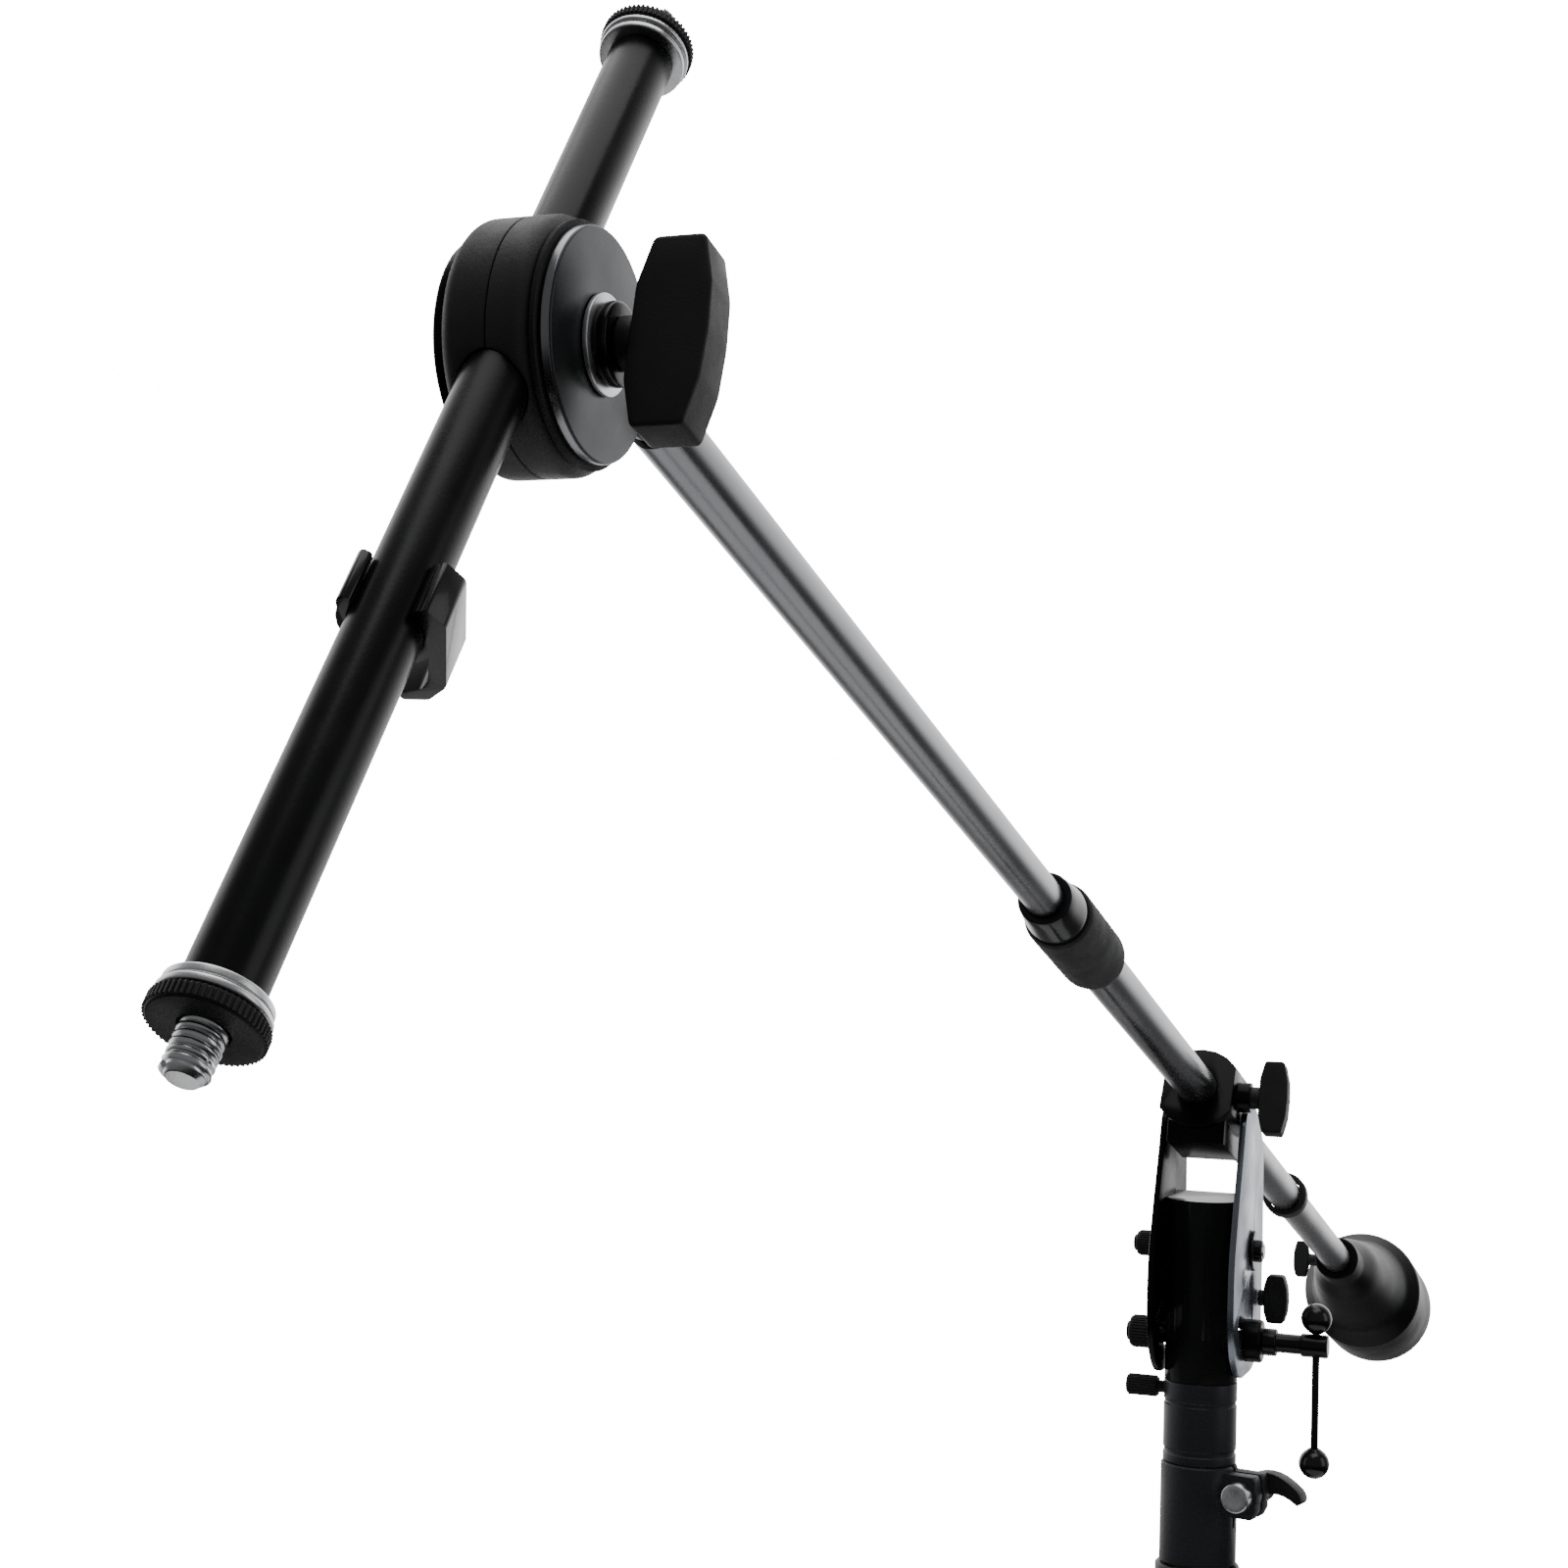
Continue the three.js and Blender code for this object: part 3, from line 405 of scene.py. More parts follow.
# ---- mast clamps ---------------------------------------------------------------------
# Die-cast collars slit down one side, squeezed on the tube by a bright steel screw.
# A moulded lever with a cam pulls the screw; the collar is bored to seat on its own tube.
bright_zinc = finish(
    "bright_zinc", (0.86, 0.87, 0.89), 0.34, metallic=1.0, grain=1300, depth=0.06, vary=0.12
)
clamp_turn = Matrix.Rotation(math.radians(-12), 4, "Z")
for part, body, radius, low in (
    ("middle", "middle_mast", 18.9, MIDDLE_CLAMP_LOW),
    ("outer", "root", 20.8, OUTER_CLAMP_LOW),
):
    cast = dressed(f"{part}_clamp_collar", 0.7)
    settle(cast, body, sand_cast_paint, "cast_black", f"{part}_clamp_collar")
    screw_at = clamp_turn @ Matrix.Translation((0, -(radius + 6.5), low + CLAMP_HEIGHT - 12))
    shank = [
        (0, -16.6, 0), (4.4, -17, 0.3), (7, -17, 0.9), (7, -9.3, 0.5),
        (3, -9.3, 0), (3, 20.2, 0.4), (2.4, 21, 0.3), (0, 21, 0),
    ]
    screw = turned(f"{part}_clamp_screw_turned", shank, screw_at @ FACE_ALONG_X, 48)
    settle(screw, body, bright_zinc, "zinc", f"{part}_clamp_screw")
    lever = dressed(f"{part}_clamp_lever", 1.0, 3)
    settle(lever, f"{part}_lever", moulded_black, "moulded_black", f"{part}_clamp_lever")

# ---- mast head -----------------------------------------------------------------------
# A zinc casting with a round front, stove-enamelled gloss black, on a turned spigot.
# The pivot bolt and the clamp screw pass across it from side to side.
enamel = finish(
    "enamel", (0.004, 0.004, 0.005), 0.26, grain=420, depth=0.05, gloss=0.15, uneven=0.05,
    worn=(0.03, 0.03, 0.03),
)
head = dressed("head_casting", 1.3, 3)
settle(head, "head", enamel, "cast_black", "head_casting")

# ---- side plates ---------------------------------------------------------------------
# Two pressed steel plates that carry the boom clamp and tilt on the pivot bolt.
# The right one is left in dull blue-grey zinc; the left one is painted.
plate_zinc = finish(
    "plate_zinc", (0.30, 0.33, 0.38), 0.3, metallic=0.9, grain=900, depth=0.08, vary=0.15
)
right_plate = dressed("side_plate_right", 0.5)
settle(right_plate, "tilt_bracket", plate_zinc, "zinc", "side_plate_right")
left_plate = dressed("side_plate_left", 0.5)
settle(left_plate, "tilt_bracket", enamel, "cast_black", "side_plate_left")

# ---- pivot bolt and thumb nuts -------------------------------------------------------
# The bolt has a wide black flange, a bright slotted end and a knurled thumb nut.
# The clamp screw below it has a boss on one side and a round nut on the other.
PLATE_OUTER = 21.3
pivot = Matrix.Translation((17, 0, BOOM_HEIGHT - 76)) @ FACE_ALONG_Y
flange = [
    (0, -PLATE_OUTER - 5.5, 0), (5.5, -PLATE_OUTER - 5.5, 1.2), (5.5, -PLATE_OUTER - 1.9, 0.2),
    (10, -PLATE_OUTER - 1.9, 0.6), (10, -PLATE_OUTER - 0.3, 0.3), (4, -PLATE_OUTER - 0.3, 0),
    (4, PLATE_OUTER + 17, 0.8), (0, PLATE_OUTER + 17, 0),
]
bolt = turned("pivot_bolt_turned", flange, pivot)
settle(bolt, "head", gloss_paint, "black_paint", "pivot_bolt")
crown = [
    (0, -PLATE_OUTER - 6.6, 0), (3.6, -PLATE_OUTER - 6.3, 0.6), (4.3, -PLATE_OUTER - 5.2, 0.2),
    (0, -PLATE_OUTER - 5.2, 0),
]
settle(turned("pivot_bolt_crown", crown, pivot, 48), "head", bright_zinc, "zinc")
NUT_LOW = PLATE_OUTER + 0.3
nut = [
    (4.3, NUT_LOW, 0), (9, NUT_LOW, 0.3), (9, NUT_LOW + 2, 0.4), (5.9, NUT_LOW + 2.4, 0.3),
    (5.9, NUT_LOW + 15, 1.0), (4.3, NUT_LOW + 15, 0.4),
]
pivot_nut = turned("pivot_nut_turned", nut, pivot, 72, closed=True)
settle(pivot_nut, "pivot_nut", moulded_black, "moulded_black", "pivot_thumb_nut")
knurled(
    "pivot_nut_knurl", "pivot_nut", 6.2, NUT_LOW + 3, NUT_LOW + 13.6, 30, pivot, moulded_black,
    "moulded_black", 0.42,
)

# ---- clamp screw and T-bar -----------------------------------------------------------
# A turned and blackened screw runs through the head and both plates to lock the tilt.
# A loose black bar with a plastic ball on each end slides through its outer end.
lock = Matrix.Translation((0, 0, BOOM_HEIGHT - 118)) @ FACE_ALONG_Y
boss = [
    (5, -PLATE_OUTER - 9, 0.4), (10.4, -PLATE_OUTER - 9, 1.4), (10.4, -PLATE_OUTER - 0.3, 0.6),
    (5, -PLATE_OUTER - 0.3, 0.2),
]
clamp_boss = turned("clamp_boss_turned", boss, lock, closed=True)
settle(clamp_boss, "lock_screw", enamel, "cast_black", "clamp_boss")
ROD_END = PLATE_OUTER + 41
screw = [
    (0, -ROD_END, 0), (5.6, -ROD_END, 1.0), (5.6, -ROD_END + 13, 0.8), (4.7, -ROD_END + 13, 0.2),
    (4.7, -PLATE_OUTER - 16, 0.2), (6.6, -PLATE_OUTER - 16, 0.9), (6.6, -PLATE_OUTER - 9.3, 0.5),
    (4.7, -PLATE_OUTER - 9.3, 0), (4.7, PLATE_OUTER + 16, 0.9), (0, PLATE_OUTER + 16, 0),
]
clamp_screw = turned("clamp_screw_turned", screw, lock, 72)
settle(clamp_screw, "lock_screw", gloss_paint, "black_paint", "clamp_screw")
round_nut = [
    (5, NUT_LOW, 0), (10, NUT_LOW, 0.4), (10, NUT_LOW + 2.5, 0.5), (7.5, NUT_LOW + 3, 0.3),
    (7.5, NUT_LOW + 14, 1.2), (5, NUT_LOW + 14, 0.4),
]
lock_nut = turned("clamp_nut_turned", round_nut, lock, 72, closed=True)
settle(lock_nut, "lock_nut", moulded_black, "moulded_black", "clamp_round_nut")
knurled(
    "clamp_nut_knurl", "lock_nut", 7.8, NUT_LOW + 3.6, NUT_LOW + 12.6, 34, lock, moulded_black,
    "moulded_black", 0.45,
)
BALL = 7.4
BALL_SEAT = 5.6 + BALL + 0.3
BAR_AT = ROD_END - 6
bar_place = Matrix.Translation((0, -BAR_AT, BOOM_HEIGHT - 118))
bar_low = BALL_SEAT - 70 - 2.7
bar_high = BALL_SEAT + 2.7
bar_corners = [(0, bar_low, 0), (1.8, bar_low, 0.3), (1.8, bar_high, 0.3), (0, bar_high, 0)]
t_bar = turned("t_bar_turned", bar_corners, bar_place, 32)
settle(t_bar, "t_bar", gloss_paint, "black_paint", "t_bar_rod")
gloss_plastic = finish(
    "gloss_plastic", (0.008, 0.008, 0.009), 0.22, grain=1200, depth=0.04, coat=0.2, uneven=0.06
)
for title, middle, way in (("upper", BALL_SEAT, -1), ("lower", BALL_SEAT - 70, 1)):
    ball = []
    for step in range(25):
        angle = math.pi * (0.5 - step / 24)
        proud = 0.12 if step in (12,) else 0
        radius = (BALL + proud) * math.cos(angle)
        ball.append((radius, way * -BALL * math.sin(angle), 0))
    ball = [p for p in ball if not (way * p[1] > BALL * 0.9)]
    collar_y = BALL * 0.9
    ball += [(2.9, way * (collar_y + 0.5), 0.2), (2.1, way * (collar_y + 0.5), 0.1)]
    ball += [(2.1, -way * 3.0, 0), (0, -way * 3.0, 0)]
    place = bar_place @ Matrix.Translation((0, 0, middle))
    made = turned(f"t_bar_{title}_ball_moulded", ball, place, 64)
    settle(made, "t_bar", gloss_plastic, "moulded_black", f"t_bar_{title}_ball")


# ---- wing screws ---------------------------------------------------------------------
# Each knob is a flat moulded wing on a round stem, with soft edges and a shallow dish in
# both faces, moulded on to a steel screw.
def wing(name, body, place, stem, near, far, wide, thick, material, node, stem_low=0.0, edge=0.9):
    """A wing blade that stands along +Z over its stem, with its face towards +X."""
    half = wide / 2
    rise = far - near
    outline = [
        (-half, near + rise * 0.16), (-half * 0.5, near), (half * 0.5, near),
        (half, near + rise * 0.16), (half, far - rise * 0.18), (half * 0.5, far - rise * 0.03),
        (0, far), (-half * 0.5, far - rise * 0.03), (-half, far - rise * 0.18),
    ]
    corners = rounded([(a, b, 1.4) for a, b in outline], True)
    shape = bmesh.new()
    rings = []
    for depth, inset in ((-0.5, 0.0), (-0.5, 0.3), (-0.49, 0.6)):
        centre = Vector((0, (near + far) / 2))
        ring = []
        for corner in corners:
            at = corner + (centre - corner) * inset
            ring.append(shape.verts.new((depth * thick * MM, at.x * MM, at.y * MM)))
        rings.append(ring)
    for depth, inset in ((0.49, 0.6), (0.5, 0.3), (0.5, 0.0)):
        centre = Vector((0, (near + far) / 2))
        ring = []
        for corner in corners:
            at = corner + (centre - corner) * inset
            ring.append(shape.verts.new((depth * thick * MM, at.x * MM, at.y * MM)))
        rings.append(ring)
    shape.faces.new(list(reversed(rings[2])))
    shape.faces.new(rings[3])
    count = len(corners)
    for a, b in ((2, 1), (1, 0), (0, 5), (5, 4), (4, 3)):
        for k in range(count):
            n = (k + 1) % count
            shape.faces.new((rings[a][k], rings[a][n], rings[b][n], rings[b][k]))
    bmesh.ops.recalc_face_normals(shape, faces=shape.faces)
    metres = place.copy()
    metres.translation = place.translation * MM
    shape.transform(metres)
    blade = object_from(name + "_blade", shape)
    soft = blade.modifiers.new("edges", "BEVEL")
    soft.width = edge * MM
    soft.segments = 4
    soft.limit_method = "ANGLE"
    soft.angle_limit = math.radians(40)
    applied(blade)
    settle(blade, body, material, "moulded_black", node, sharp=40)
    top = near + 1.5
    rise_corners = [
        (0, stem_low, 0), (stem, stem_low, 0.4), (stem, near - 0.4, 0.8), (stem * 0.8, top, 0.6),
        (0, top, 0),
    ]
    stem_piece = turned(name + "_stem", rise_corners, place, 48)
    settle(stem_piece, body, material, "moulded_black")


FACE_RIGHT = Matrix.Rotation(math.pi / 2, 4, "X")
rear = Matrix.Translation((38, -PLATE_OUTER - 0.3, BOOM_HEIGHT - 102)) @ FACE_RIGHT
wing("plate_screw", "plate_screw", rear, 4, 3, 15, 24, 9, moulded_black, "plate_wing_screw")

# ---- boom clamp ----------------------------------------------------------------------
# A closed cast ring with a slanting mouth, held between the plates by its flat flanks.
# Its wing screw presses on the boom through a round boss on the right.
BOOM = Matrix.Translation((0, 0, BOOM_HEIGHT)) @ Matrix.Rotation(math.radians(15.4), 4, "Y")
ALONG_BOOM = BOOM @ FACE_ALONG_X
saddle = dressed("boom_clamp", 0.8, 3)
settle(saddle, "tilt_bracket", enamel, "cast_black", "boom_clamp")
saddle_screw = BOOM @ Matrix.Translation((-6, -23.8, 0)) @ FACE_RIGHT
wing(
    "clamp_knob", "boom_knob", saddle_screw, 5.5, 4, 18, 36, 11, moulded_black,
    "boom_clamp_knob", -13,
)

# ---- boom tubes ----------------------------------------------------------------------
# Two seamless steel tubes, ground and chromium plated, the thinner sliding in the other.
# The plating has dulled to a soft grey satin, with faint draw lines along it.
BOOM_TAIL = 765  # millimetres from the pivot to the outer tube's rear end
chrome = finish(
    "chrome", (0.36, 0.365, 0.385), 0.26, metallic=1.0, grain=700, depth=0.015, vary=0.03,
    uneven=0.03,
)
outer_tube = pipe("boom_outer_drawn", 9.5, 8, -305, BOOM_TAIL, ALONG_BOOM, 0.5, 128)
settle(outer_tube, "boom", chrome, "chrome", "boom_outer_tube")
inner_tube = pipe("boom_inner_drawn", 7.5, 6, -736, -36, ALONG_BOOM, 0.5, 128)
settle(inner_tube, "inner_boom", chrome, "chrome", "boom_inner_tube")

# ---- stop collar and tail cap --------------------------------------------------------
# A moulded collar stops the counterweight's run, and a rubber cap closes the tail.
stop = [(9.8, 262, 0.4), (13, 262, 1.6), (13, 273, 1.6), (9.8, 273, 0.4)]
stop_collar = turned("stop_collar_turned", stop, ALONG_BOOM, closed=True)
settle(stop_collar, "boom", moulded_black, "moulded_black", "boom_stop_collar")
tail = [
    (9.8, BOOM_TAIL - 12, 0.3), (11.5, BOOM_TAIL - 12, 0.8), (11.5, BOOM_TAIL + 3, 1.6),
    (0, BOOM_TAIL + 3, 0), (0, BOOM_TAIL + 0.3, 0), (9.8, BOOM_TAIL + 0.3, 0),
]
tail_cap = turned("tail_cap_moulded", tail, ALONG_BOOM)
settle(tail_cap, "boom", rubber, "rubber", "boom_tail_cap")

# ---- twist grip ----------------------------------------------------------------------
# A split bush on the outer tube closes on the inner one when the rubber-faced sleeve is
# turned. A plated ring with a polished mouth finishes its front.
bush = pipe("jaw_bush_moulded", 11.4, 7.8, -325, -305.3, ALONG_BOOM, 0.4)
settle(bush, "boom", moulded_black, "moulded_black", "grip_jaw_bush")
smoked_plate = finish(
    "smoked_plate", (0.03, 0.031, 0.035), 0.16, metallic=0.6, grain=900, depth=0.03, vary=0.1,
    uneven=0.04,
)
mouth = [
    (7.8, -347, 0.4), (10.4, -347, 1.0), (11.2, -339, 1.5), (12.2, -329, 0.8),
    (12.2, -326, 0.2), (7.8, -326, 0.2),
]
mouth_ring = turned("mouth_ring_turned", mouth, ALONG_BOOM, 128, closed=True)
settle(mouth_ring, "grip", smoked_plate, "black_paint", "grip_mouth_ring")
sleeve = [
    (11.7, -325.7, 0.2), (12.8, -325.7, 0.8), (13.6, -323.6, 0.8), (13.6, -264, 3.5),
    (12.4, -259.5, 1.6), (10.6, -258, 0.8), (9.8, -258, 0.3), (9.8, -301, 0), (11.7, -301, 0),
]
grip = turned("twist_grip_moulded", sleeve, ALONG_BOOM, 128, closed=True)
settle(grip, "grip", rubber, "rubber", "twist_grip")

# ---- counterweight -------------------------------------------------------------------
# A turned iron weight in satin enamel: a long cone off a narrow neck, a sharp shoulder
# and a plain cylinder. A wing screw in the neck holds it on the boom.
weight = [
    (9.8, 504, 0.5), (13.5, 504, 0.6), (14.5, 505, 0.8), (15, 530, 3), (21.5, 552, 9),
    (32.5, 636, 5), (40.6, 648.5, 0.8), (41.5, 651, 1.2), (41.5, 738, 3), (38.5, 744, 2.5),
    (33.5, 745, 1), (9.8, 745, 0.5),
]
weight_enamel = finish(
    "weight_enamel", (0.006, 0.006, 0.007), 0.36, grain=500, depth=0.12, gloss=0.15,
    uneven=0.08,
)
counterweight = turned("counterweight_turned", weight, ALONG_BOOM, 160, closed=True)
settle(counterweight, "weight", weight_enamel, "cast_black", "counterweight")
weight_screw = BOOM @ Matrix.Translation((520, 15.8, 0)) @ FACE_ALONG_Y
wing(
    "weight_screw", "weight_screw", weight_screw, 4, 5, 15, 24, 8, moulded_black,
    "counterweight_screw", -6,
)

# ---- stem disc -----------------------------------------------------------------------
# A ground steel disc on a short neck, plugged and pinned into the inner tube's end.
# The knuckle's friction ring bears on its face.
ground_steel = finish(
    "ground_steel", (0.06, 0.062, 0.068), 0.34, metallic=0.7, grain=1400, depth=0.05, vary=0.1,
    uneven=0.06,
)
KNUCKLE_AT = -772
disc_place = BOOM @ Matrix.Translation((KNUCKLE_AT, 0, 0)) @ FACE_ALONG_Y
disc = [(2.8, -1.5, 0.2), (26.3, -1.5, 0.6), (26.3, 1.5, 0.6), (2.8, 1.5, 0.2)]
stem_disc = turned("stem_disc_ground", disc, disc_place, 160, closed=True)
settle(stem_disc, "inner_boom", ground_steel, "grey_disc", "stem_disc")
rim = pipe("stem_disc_rim", 26.4, 25.6, -1.05, 1.05, disc_place, 0.3, 160)
settle(rim, "inner_boom", chrome, "grey_disc")
stem_place = BOOM @ Matrix.Translation((KNUCKLE_AT, 0, 0)) @ FACE_ALONG_X
plug = [
    (0, 29.5, 0), (6.8, 29.5, 0.8), (6.8, 33.5, 0.3), (5.7, 33.9, 0.2), (5.7, 68.7, 0.6),
    (0, 68.7, 0),
]
stem_plug = turned("stem_plug_turned", plug, stem_place, 72)
settle(stem_plug, "inner_boom", gloss_paint, "black_paint")
neck_shape = bmesh.new()
bmesh.ops.create_cube(neck_shape, size=1)
neck_shape.transform(
    BOOM.to_3x3().to_4x4() @ Matrix.Diagonal((10 * MM, 3 * MM, 12 * MM, 1))
)
neck_shape.transform(Matrix.Translation((BOOM @ Vector((KNUCKLE_AT + 29, 0, 0))) * MM))
stem_neck = object_from("stem_neck", neck_shape)
soften = stem_neck.modifiers.new("edges", "BEVEL")
soften.width = 0.6 * MM
soften.segments = 3
applied(stem_neck)
settle(stem_neck, "inner_boom", gloss_paint, "black_paint")

# ---- knuckle -------------------------------------------------------------------------
# Two moulded half-shells close round the crossbar and a thin cap covers the outer one.
# A bolt through them, the disc, a washer and a nut carries the wing knob that locks all.
KNUCKLE = (
    BOOM
    @ Matrix.Translation((KNUCKLE_AT, 0, 0))
    @ Matrix.Rotation(math.radians(90 - 53.9 - 15.4), 4, "Y")
)
knuckle_axis = KNUCKLE @ FACE_ALONG_Y
matte_nylon = finish(
    "matte_nylon", (0.045, 0.045, 0.048), 0.5, grain=2200, depth=0.25, vary=0.15, uneven=0.08,
    gloss=0.35,
)
ring = pipe("friction_ring_cut", 27.8, 15, 1.8, 3.0, knuckle_axis, 0.3, 128)
settle(ring, "knuckle", rubber, "moulded_black", "friction_ring")


def bored(made, radius, place, edge):
    """Cuts the crossbar's bore through a moulding and softens the new edge."""
    drill = turned(
        "drill", [(0, -60, 0), (radius, -60, 0), (radius, 60, 0), (0, 60, 0)], place, 96
    )
    hole = made.modifiers.new("hole", "BOOLEAN")
    hole.operation = "DIFFERENCE"
    hole.solver = "EXACT"
    hole.object = drill
    applied(made)
    bpy.data.objects.remove(drill)
    lip = made.modifiers.new("lip", "BEVEL")
    lip.width = edge * MM
    lip.segments = 3
    lip.limit_method = "ANGLE"
    lip.angle_limit = math.radians(38)
    return applied(made)


CROSSBAR = KNUCKLE @ Matrix.Translation((-10.9, 12.7, 0))
right_half = [
    (2.8, 3.3, 0), (27.0, 3.3, 1.0), (29.2, 5.5, 1.4), (29.2, 12.55, 0.3), (2.8, 12.55, 0),
]
left_half = [
    (2.8, 12.85, 0), (29.2, 12.85, 0.3), (29.2, 22.25, 1.6), (27.0, 24.45, 1.4), (2.8, 24.45, 0),
]
for side, corners in (("right", right_half), ("left", left_half)):
    shell = turned(f"knuckle_{side}_moulded", corners, knuckle_axis, 128, closed=True)
    bored(shell, 8.3, CROSSBAR, 0.5)
    settle(shell, "knuckle", matte_nylon, "moulded_black", f"knuckle_shell_{side}")
cap_corners = [
    (2.8, 24.75, 0.2), (25.2, 24.75, 0.6), (25.2, 27.75, 1.2), (14, 27.75, 0.5), (13, 27.0, 0.5),
    (2.8, 27.0, 0.2),
]
cap = turned("knuckle_cap_cast", cap_corners, knuckle_axis, 128, closed=True)
settle(cap, "knuckle", enamel, "cast_black", "knuckle_cap")
shank = [
    (0, -18, 0), (2.5, -18, 0.4), (2.5, 28.05, 0), (6.2, 28.05, 0.5), (6.2, 32.05, 1.4),
    (0, 32.05, 0),
]
knuckle_bolt = turned("knuckle_bolt_turned", shank, knuckle_axis, 48)
settle(knuckle_bolt, "knuckle", bright_zinc, "zinc", "knuckle_bolt")
washer = pipe("knuckle_washer_pressed", 11.5, 2.8, -3.0, -1.8, knuckle_axis, 0.3)
settle(washer, "knuckle_knob", bright_zinc, "zinc", "knuckle_washer")
nut_corners = [(2.8, -6.5, 0.3), (9.6, -6.5, 0.9), (9.6, -3.3, 0.9), (2.8, -3.3, 0.3)]
knuckle_nut = turned("knuckle_nut_turned", nut_corners, knuckle_axis, closed=True)
settle(knuckle_nut, "knuckle_knob", gloss_paint, "black_paint", "knuckle_nut")
KNOB_TURN, BAR_TURN = 13, 36.1  # degrees the knob and the bar stand off upright
knob_place = (
    KNUCKLE
    @ Matrix.Rotation(math.radians(KNOB_TURN - BAR_TURN), 4, "Y")
    @ Matrix.Translation((0, -6.8, 0))
    @ FACE_RIGHT
)
wing(
    "knuckle_knob", "knuckle_knob", knob_place, 6.2, 3.7, 22.4, 46, 12.6, moulded_black,
    "knuckle_wing_knob", 0, 1.0,
)

# ---- crossbar ------------------------------------------------------------------------
# A steel tube in satin black enamel with a plug staked into each end.
# It runs through the knuckle beside the bolt and can slide along in it.
NEAR_END, FAR_END = -185, 93  # millimetres along the bar from the knuckle
bar_enamel = finish(
    "bar_enamel", (0.005, 0.005, 0.006), 0.28, grain=900, depth=0.05, gloss=0.3, uneven=0.05
)
crossbar = pipe("crossbar_drawn", 8, 6.5, NEAR_END, FAR_END, CROSSBAR, 0.5, 128)
settle(crossbar, "crossbar", bar_enamel, "black_paint", "crossbar_tube")


# ---- crossbar ends -------------------------------------------------------------------
# Each end has a bright plug with a flange and a threaded stud, a loose bright ring and a
# blackened lock disc with a coarse knurl, which jams against the microphone's own mount.
def thread_tree():
    """One ridge wound round a stud: turns, radius, length and ridge size."""
    tree = bpy.data.node_groups.new("stud_thread", "GeometryNodeTree")
    for title in ("Turns", "Thread radius", "Thread length", "Ridge size"):
        tree.interface.new_socket(title, in_out="INPUT", socket_type="NodeSocketFloat")
    tree.interface.new_socket("Finish", in_out="INPUT", socket_type="NodeSocketMaterial")
    tree.interface.new_socket("Thread", in_out="OUTPUT", socket_type="NodeSocketGeometry")
    given = tree.nodes.new("NodeGroupInput")
    out = tree.nodes.new("NodeGroupOutput")
    helix = tree.nodes.new("GeometryNodeCurveSpiral")
    helix.inputs["Resolution"].default_value = 64
    profile = tree.nodes.new("GeometryNodeCurvePrimitiveCircle")
    profile.inputs["Resolution"].default_value = 6
    sweep = tree.nodes.new("GeometryNodeCurveToMesh")
    sweep.inputs["Fill Caps"].default_value = True
    whole = tree.nodes.new("GeometryNodeRealizeInstances")
    paint = tree.nodes.new("GeometryNodeSetMaterial")
    link = tree.links.new
    link(given.outputs["Turns"], helix.inputs["Rotations"])
    link(given.outputs["Thread radius"], helix.inputs["Start Radius"])
    link(given.outputs["Thread radius"], helix.inputs["End Radius"])
    link(given.outputs["Thread length"], helix.inputs["Height"])
    link(given.outputs["Ridge size"], profile.inputs["Radius"])
    link(helix.outputs["Curve"], sweep.inputs["Curve"])
    link(profile.outputs["Curve"], sweep.inputs["Profile Curve"])
    link(sweep.outputs["Mesh"], whole.inputs["Geometry"])
    link(whole.outputs["Geometry"], paint.inputs["Geometry"])
    link(given.outputs["Finish"], paint.inputs["Material"])
    link(paint.outputs["Geometry"], out.inputs["Thread"])
    return tree


threads = thread_tree()
for side, place_along, suffix in ((-1, NEAR_END, "near"), (1, FAR_END, "far")):
    end = CROSSBAR @ Matrix.Translation((0, 0, place_along))
    if side < 0:
        end = end @ Matrix.Rotation(math.pi, 4, "X")
    tip = 18.0
    stud = [
        (0, -16, 0), (6.2, -16, 0.4), (6.2, 0.3, 0), (10.6, 0.3, 0.5), (10.6, 2.2, 0.5),
        (4.0, 2.2, 0), (4.0, tip - 1.1, 0.2), (3.1, tip, 0.2), (0, tip, 0),
    ]
    plug_piece = turned(f"end_stud_{suffix}_turned", stud, end, 96)
    settle(plug_piece, "crossbar", bright_zinc, "zinc", f"end_stud_{suffix}")
    helix_values = {
        "Turns": 6.4,
        "Thread radius": 4.05 * MM,
        "Thread length": 10.2 * MM,
        "Ridge size": 0.68 * MM,
        "Finish": bright_zinc,
    }
    ridge_place = end @ Matrix.Translation((0, 0, 6.6))
    ridge = grown(f"end_thread_{suffix}", threads, helix_values, ridge_place)
    settle(ridge, "crossbar", bright_zinc, "zinc", sharp=60)
    loose = pipe(f"end_ring_{suffix}_turned", 11.1, 5.06, 2.5, 4.1, end, 0.6)
    settle(loose, "crossbar", bright_zinc, "zinc", f"end_ring_{suffix}")
    lock_corners = [
        (5.06, 4.4, 0.4), (10.7, 4.4, 0.5), (11.15, 4.9, 0.2), (11.15, 7.3, 0.2),
        (10.7, 7.8, 0.5), (5.06, 7.8, 0.4),
    ]
    lock_disc = turned(f"lock_disc_{suffix}_turned", lock_corners, end, closed=True)
    settle(lock_disc, f"disc_{suffix}", moulded_black, "moulded_black", f"lock_disc_{suffix}")
    knurled(
        f"lock_disc_{suffix}_knurl", f"disc_{suffix}", 11.35, 4.8, 7.4, 60, end, moulded_black,
        "moulded_black", 0.38,
    )

# ---- cable clip ----------------------------------------------------------------------
# A springy moulded clip: an open ring that snaps on the crossbar, with a beaded end to
# pull it off by, and an arm that hooks round behind the bar to hold the cable.
clip = dressed("cable_clip", 0.5, 3)
settle(clip, "clip", gloss_plastic, "moulded_black", "cable_clip")

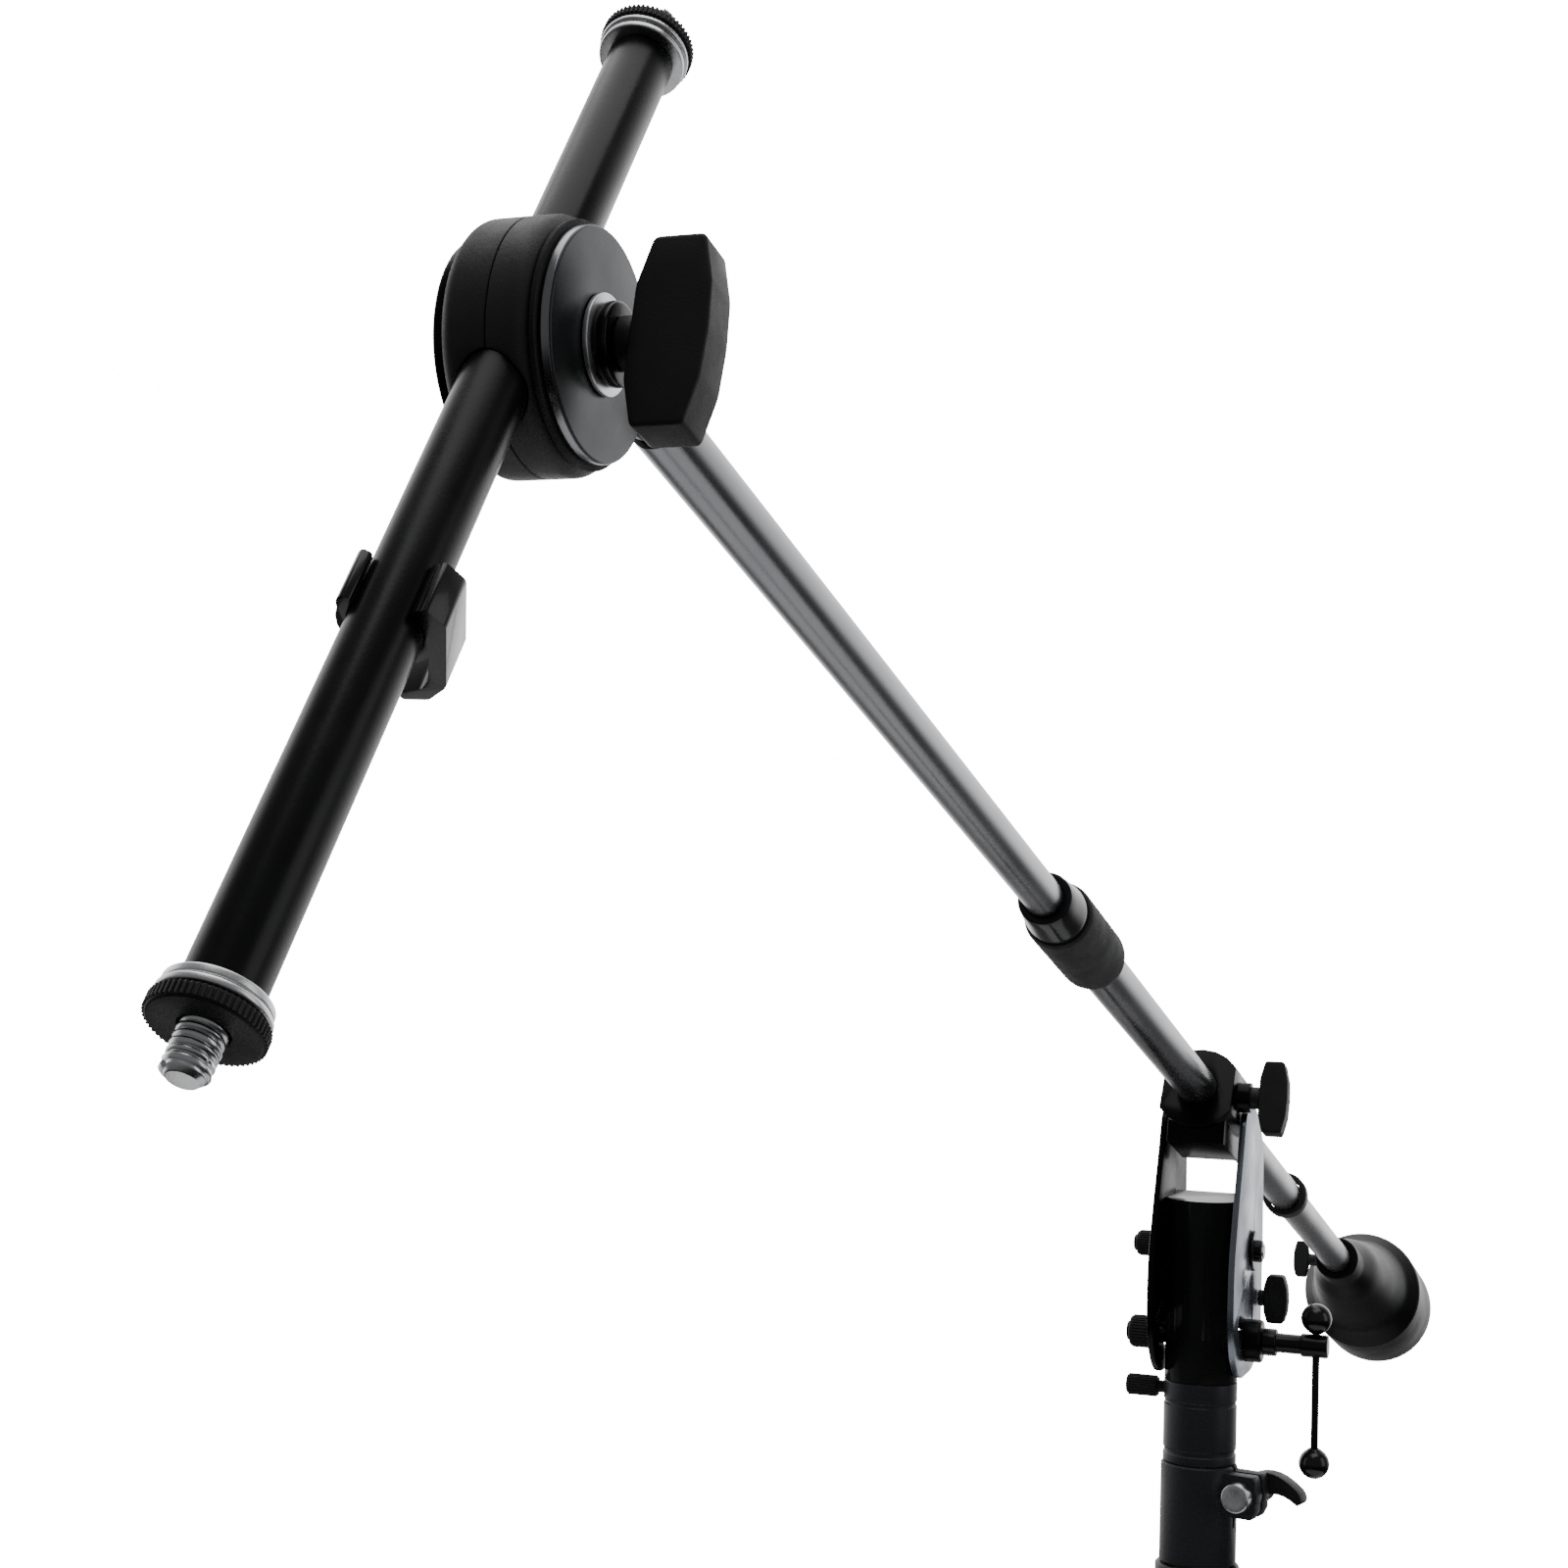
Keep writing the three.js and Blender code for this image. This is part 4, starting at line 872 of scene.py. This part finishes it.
# ---- studio --------------------------------------------------------------------------
# A plain pale floor under the feet, a bright soft room behind and beside, and a camera at
# the height of the boom's tilted middle, looking along it from the crossbar's end.
floor_shape = bmesh.new()
bmesh.ops.create_circle(floor_shape, cap_ends=True, segments=96, radius=1.1)
floor_shape.transform(Matrix.Translation((0, 0, -0.0258)))
floor = object_from("studio_floor", floor_shape)
pale = bpy.data.materials.new("pale_floor")
pale.use_nodes = True
pale.node_tree.nodes["Principled BSDF"].inputs["Base Color"].default_value = (0.9, 0.9, 0.9, 1)
pale.node_tree.nodes["Principled BSDF"].inputs["Roughness"].default_value = 0.9
floor.data.materials.append(pale)


def soft_light(name, place, target, size, power):
    lamp = bpy.data.lights.new(name, "AREA")
    lamp.shape = "RECTANGLE"
    lamp.size, lamp.size_y = size
    lamp.energy = power
    made = bpy.data.objects.new(name, lamp)
    made.location = place
    made.rotation_euler = (Vector(target) - Vector(place)).to_track_quat("-Z", "Y").to_euler()
    bpy.context.collection.objects.link(made)
    return made


soft_light("left_softbox", (-0.6, 2.6, 1.6), (0, 0, 1.1), (1.6, 2.4), 7)
soft_light("right_softbox", (-0.3, -2.8, 1.8), (0, 0, 1.1), (1.4, 2.4), 9)
soft_light("top_softbox", (-0.2, 0.2, 3.4), (0, 0, 1.0), (2.6, 2.0), 24)

sky = bpy.data.worlds.new("white_room")
sky.use_nodes = True
room = sky.node_tree
glow = room.nodes["Background"]
direction = room.nodes.new("ShaderNodeTexCoord")
towards = room.nodes.new("ShaderNodeVectorMath")
towards.operation = "DOT_PRODUCT"
towards.inputs[1].default_value = (0.93, 0.36, 0.0)
fade = room.nodes.new("ShaderNodeMapRange")
fade.inputs["From Min"].default_value = 0.1
fade.inputs["From Max"].default_value = 0.95
fade.inputs["To Min"].default_value = 0.14
fade.inputs["To Max"].default_value = 1.9
fade.interpolation_type = "SMOOTHSTEP"
height = room.nodes.new("ShaderNodeSeparateXYZ")
ground = room.nodes.new("ShaderNodeMapRange")
ground.inputs["From Min"].default_value = -0.45
ground.inputs["From Max"].default_value = -0.08
ground.inputs["To Min"].default_value = 0.07
ground.inputs["To Max"].default_value = 1.0
ground.interpolation_type = "SMOOTHSTEP"
glow_level = room.nodes.new("ShaderNodeMath")
glow_level.operation = "MULTIPLY"
room.links.new(direction.outputs["Generated"], towards.inputs[0])
room.links.new(direction.outputs["Generated"], height.inputs[0])
room.links.new(towards.outputs["Value"], fade.inputs["Value"])
room.links.new(height.outputs["Z"], ground.inputs["Value"])
room.links.new(fade.outputs["Result"], glow_level.inputs[0])
room.links.new(ground.outputs["Result"], glow_level.inputs[1])
seen = room.nodes.new("ShaderNodeLightPath")
backdrop = room.nodes.new("ShaderNodeMix")
backdrop.inputs["B"].default_value = 16.0
room.links.new(seen.outputs["Is Camera Ray"], backdrop.inputs["Factor"])
room.links.new(glow_level.outputs["Value"], backdrop.inputs["A"])
room.links.new(backdrop.outputs["Result"], glow.inputs["Strength"])
glow.inputs["Color"].default_value = (1, 1, 1, 1)
bpy.context.scene.world = sky

lens = bpy.data.cameras.new("camera")
lens.lens = 56.25
lens.sensor_width = 36
lens.clip_start = 0.02
lens.clip_end = 60
camera = bpy.data.objects.new("camera", lens)
bpy.context.collection.objects.link(camera)
yaw, pitch, roll = (math.radians(a) for a in (20.56, 3.49, 1.78))
ahead = Vector(
    (math.cos(yaw) * math.cos(pitch), math.sin(yaw) * math.cos(pitch), math.sin(pitch))
)
level = Vector((math.sin(yaw), -math.cos(yaw), 0))
over = level.cross(ahead)
right = math.cos(roll) * level + math.sin(roll) * over
up = -math.sin(roll) * level + math.cos(roll) * over
turn = Matrix((right, up, -ahead)).transposed().to_4x4()
camera.matrix_world = Matrix.Translation((-1.2327, -0.2310, 1.1758)) @ turn
bpy.context.scene.camera = camera
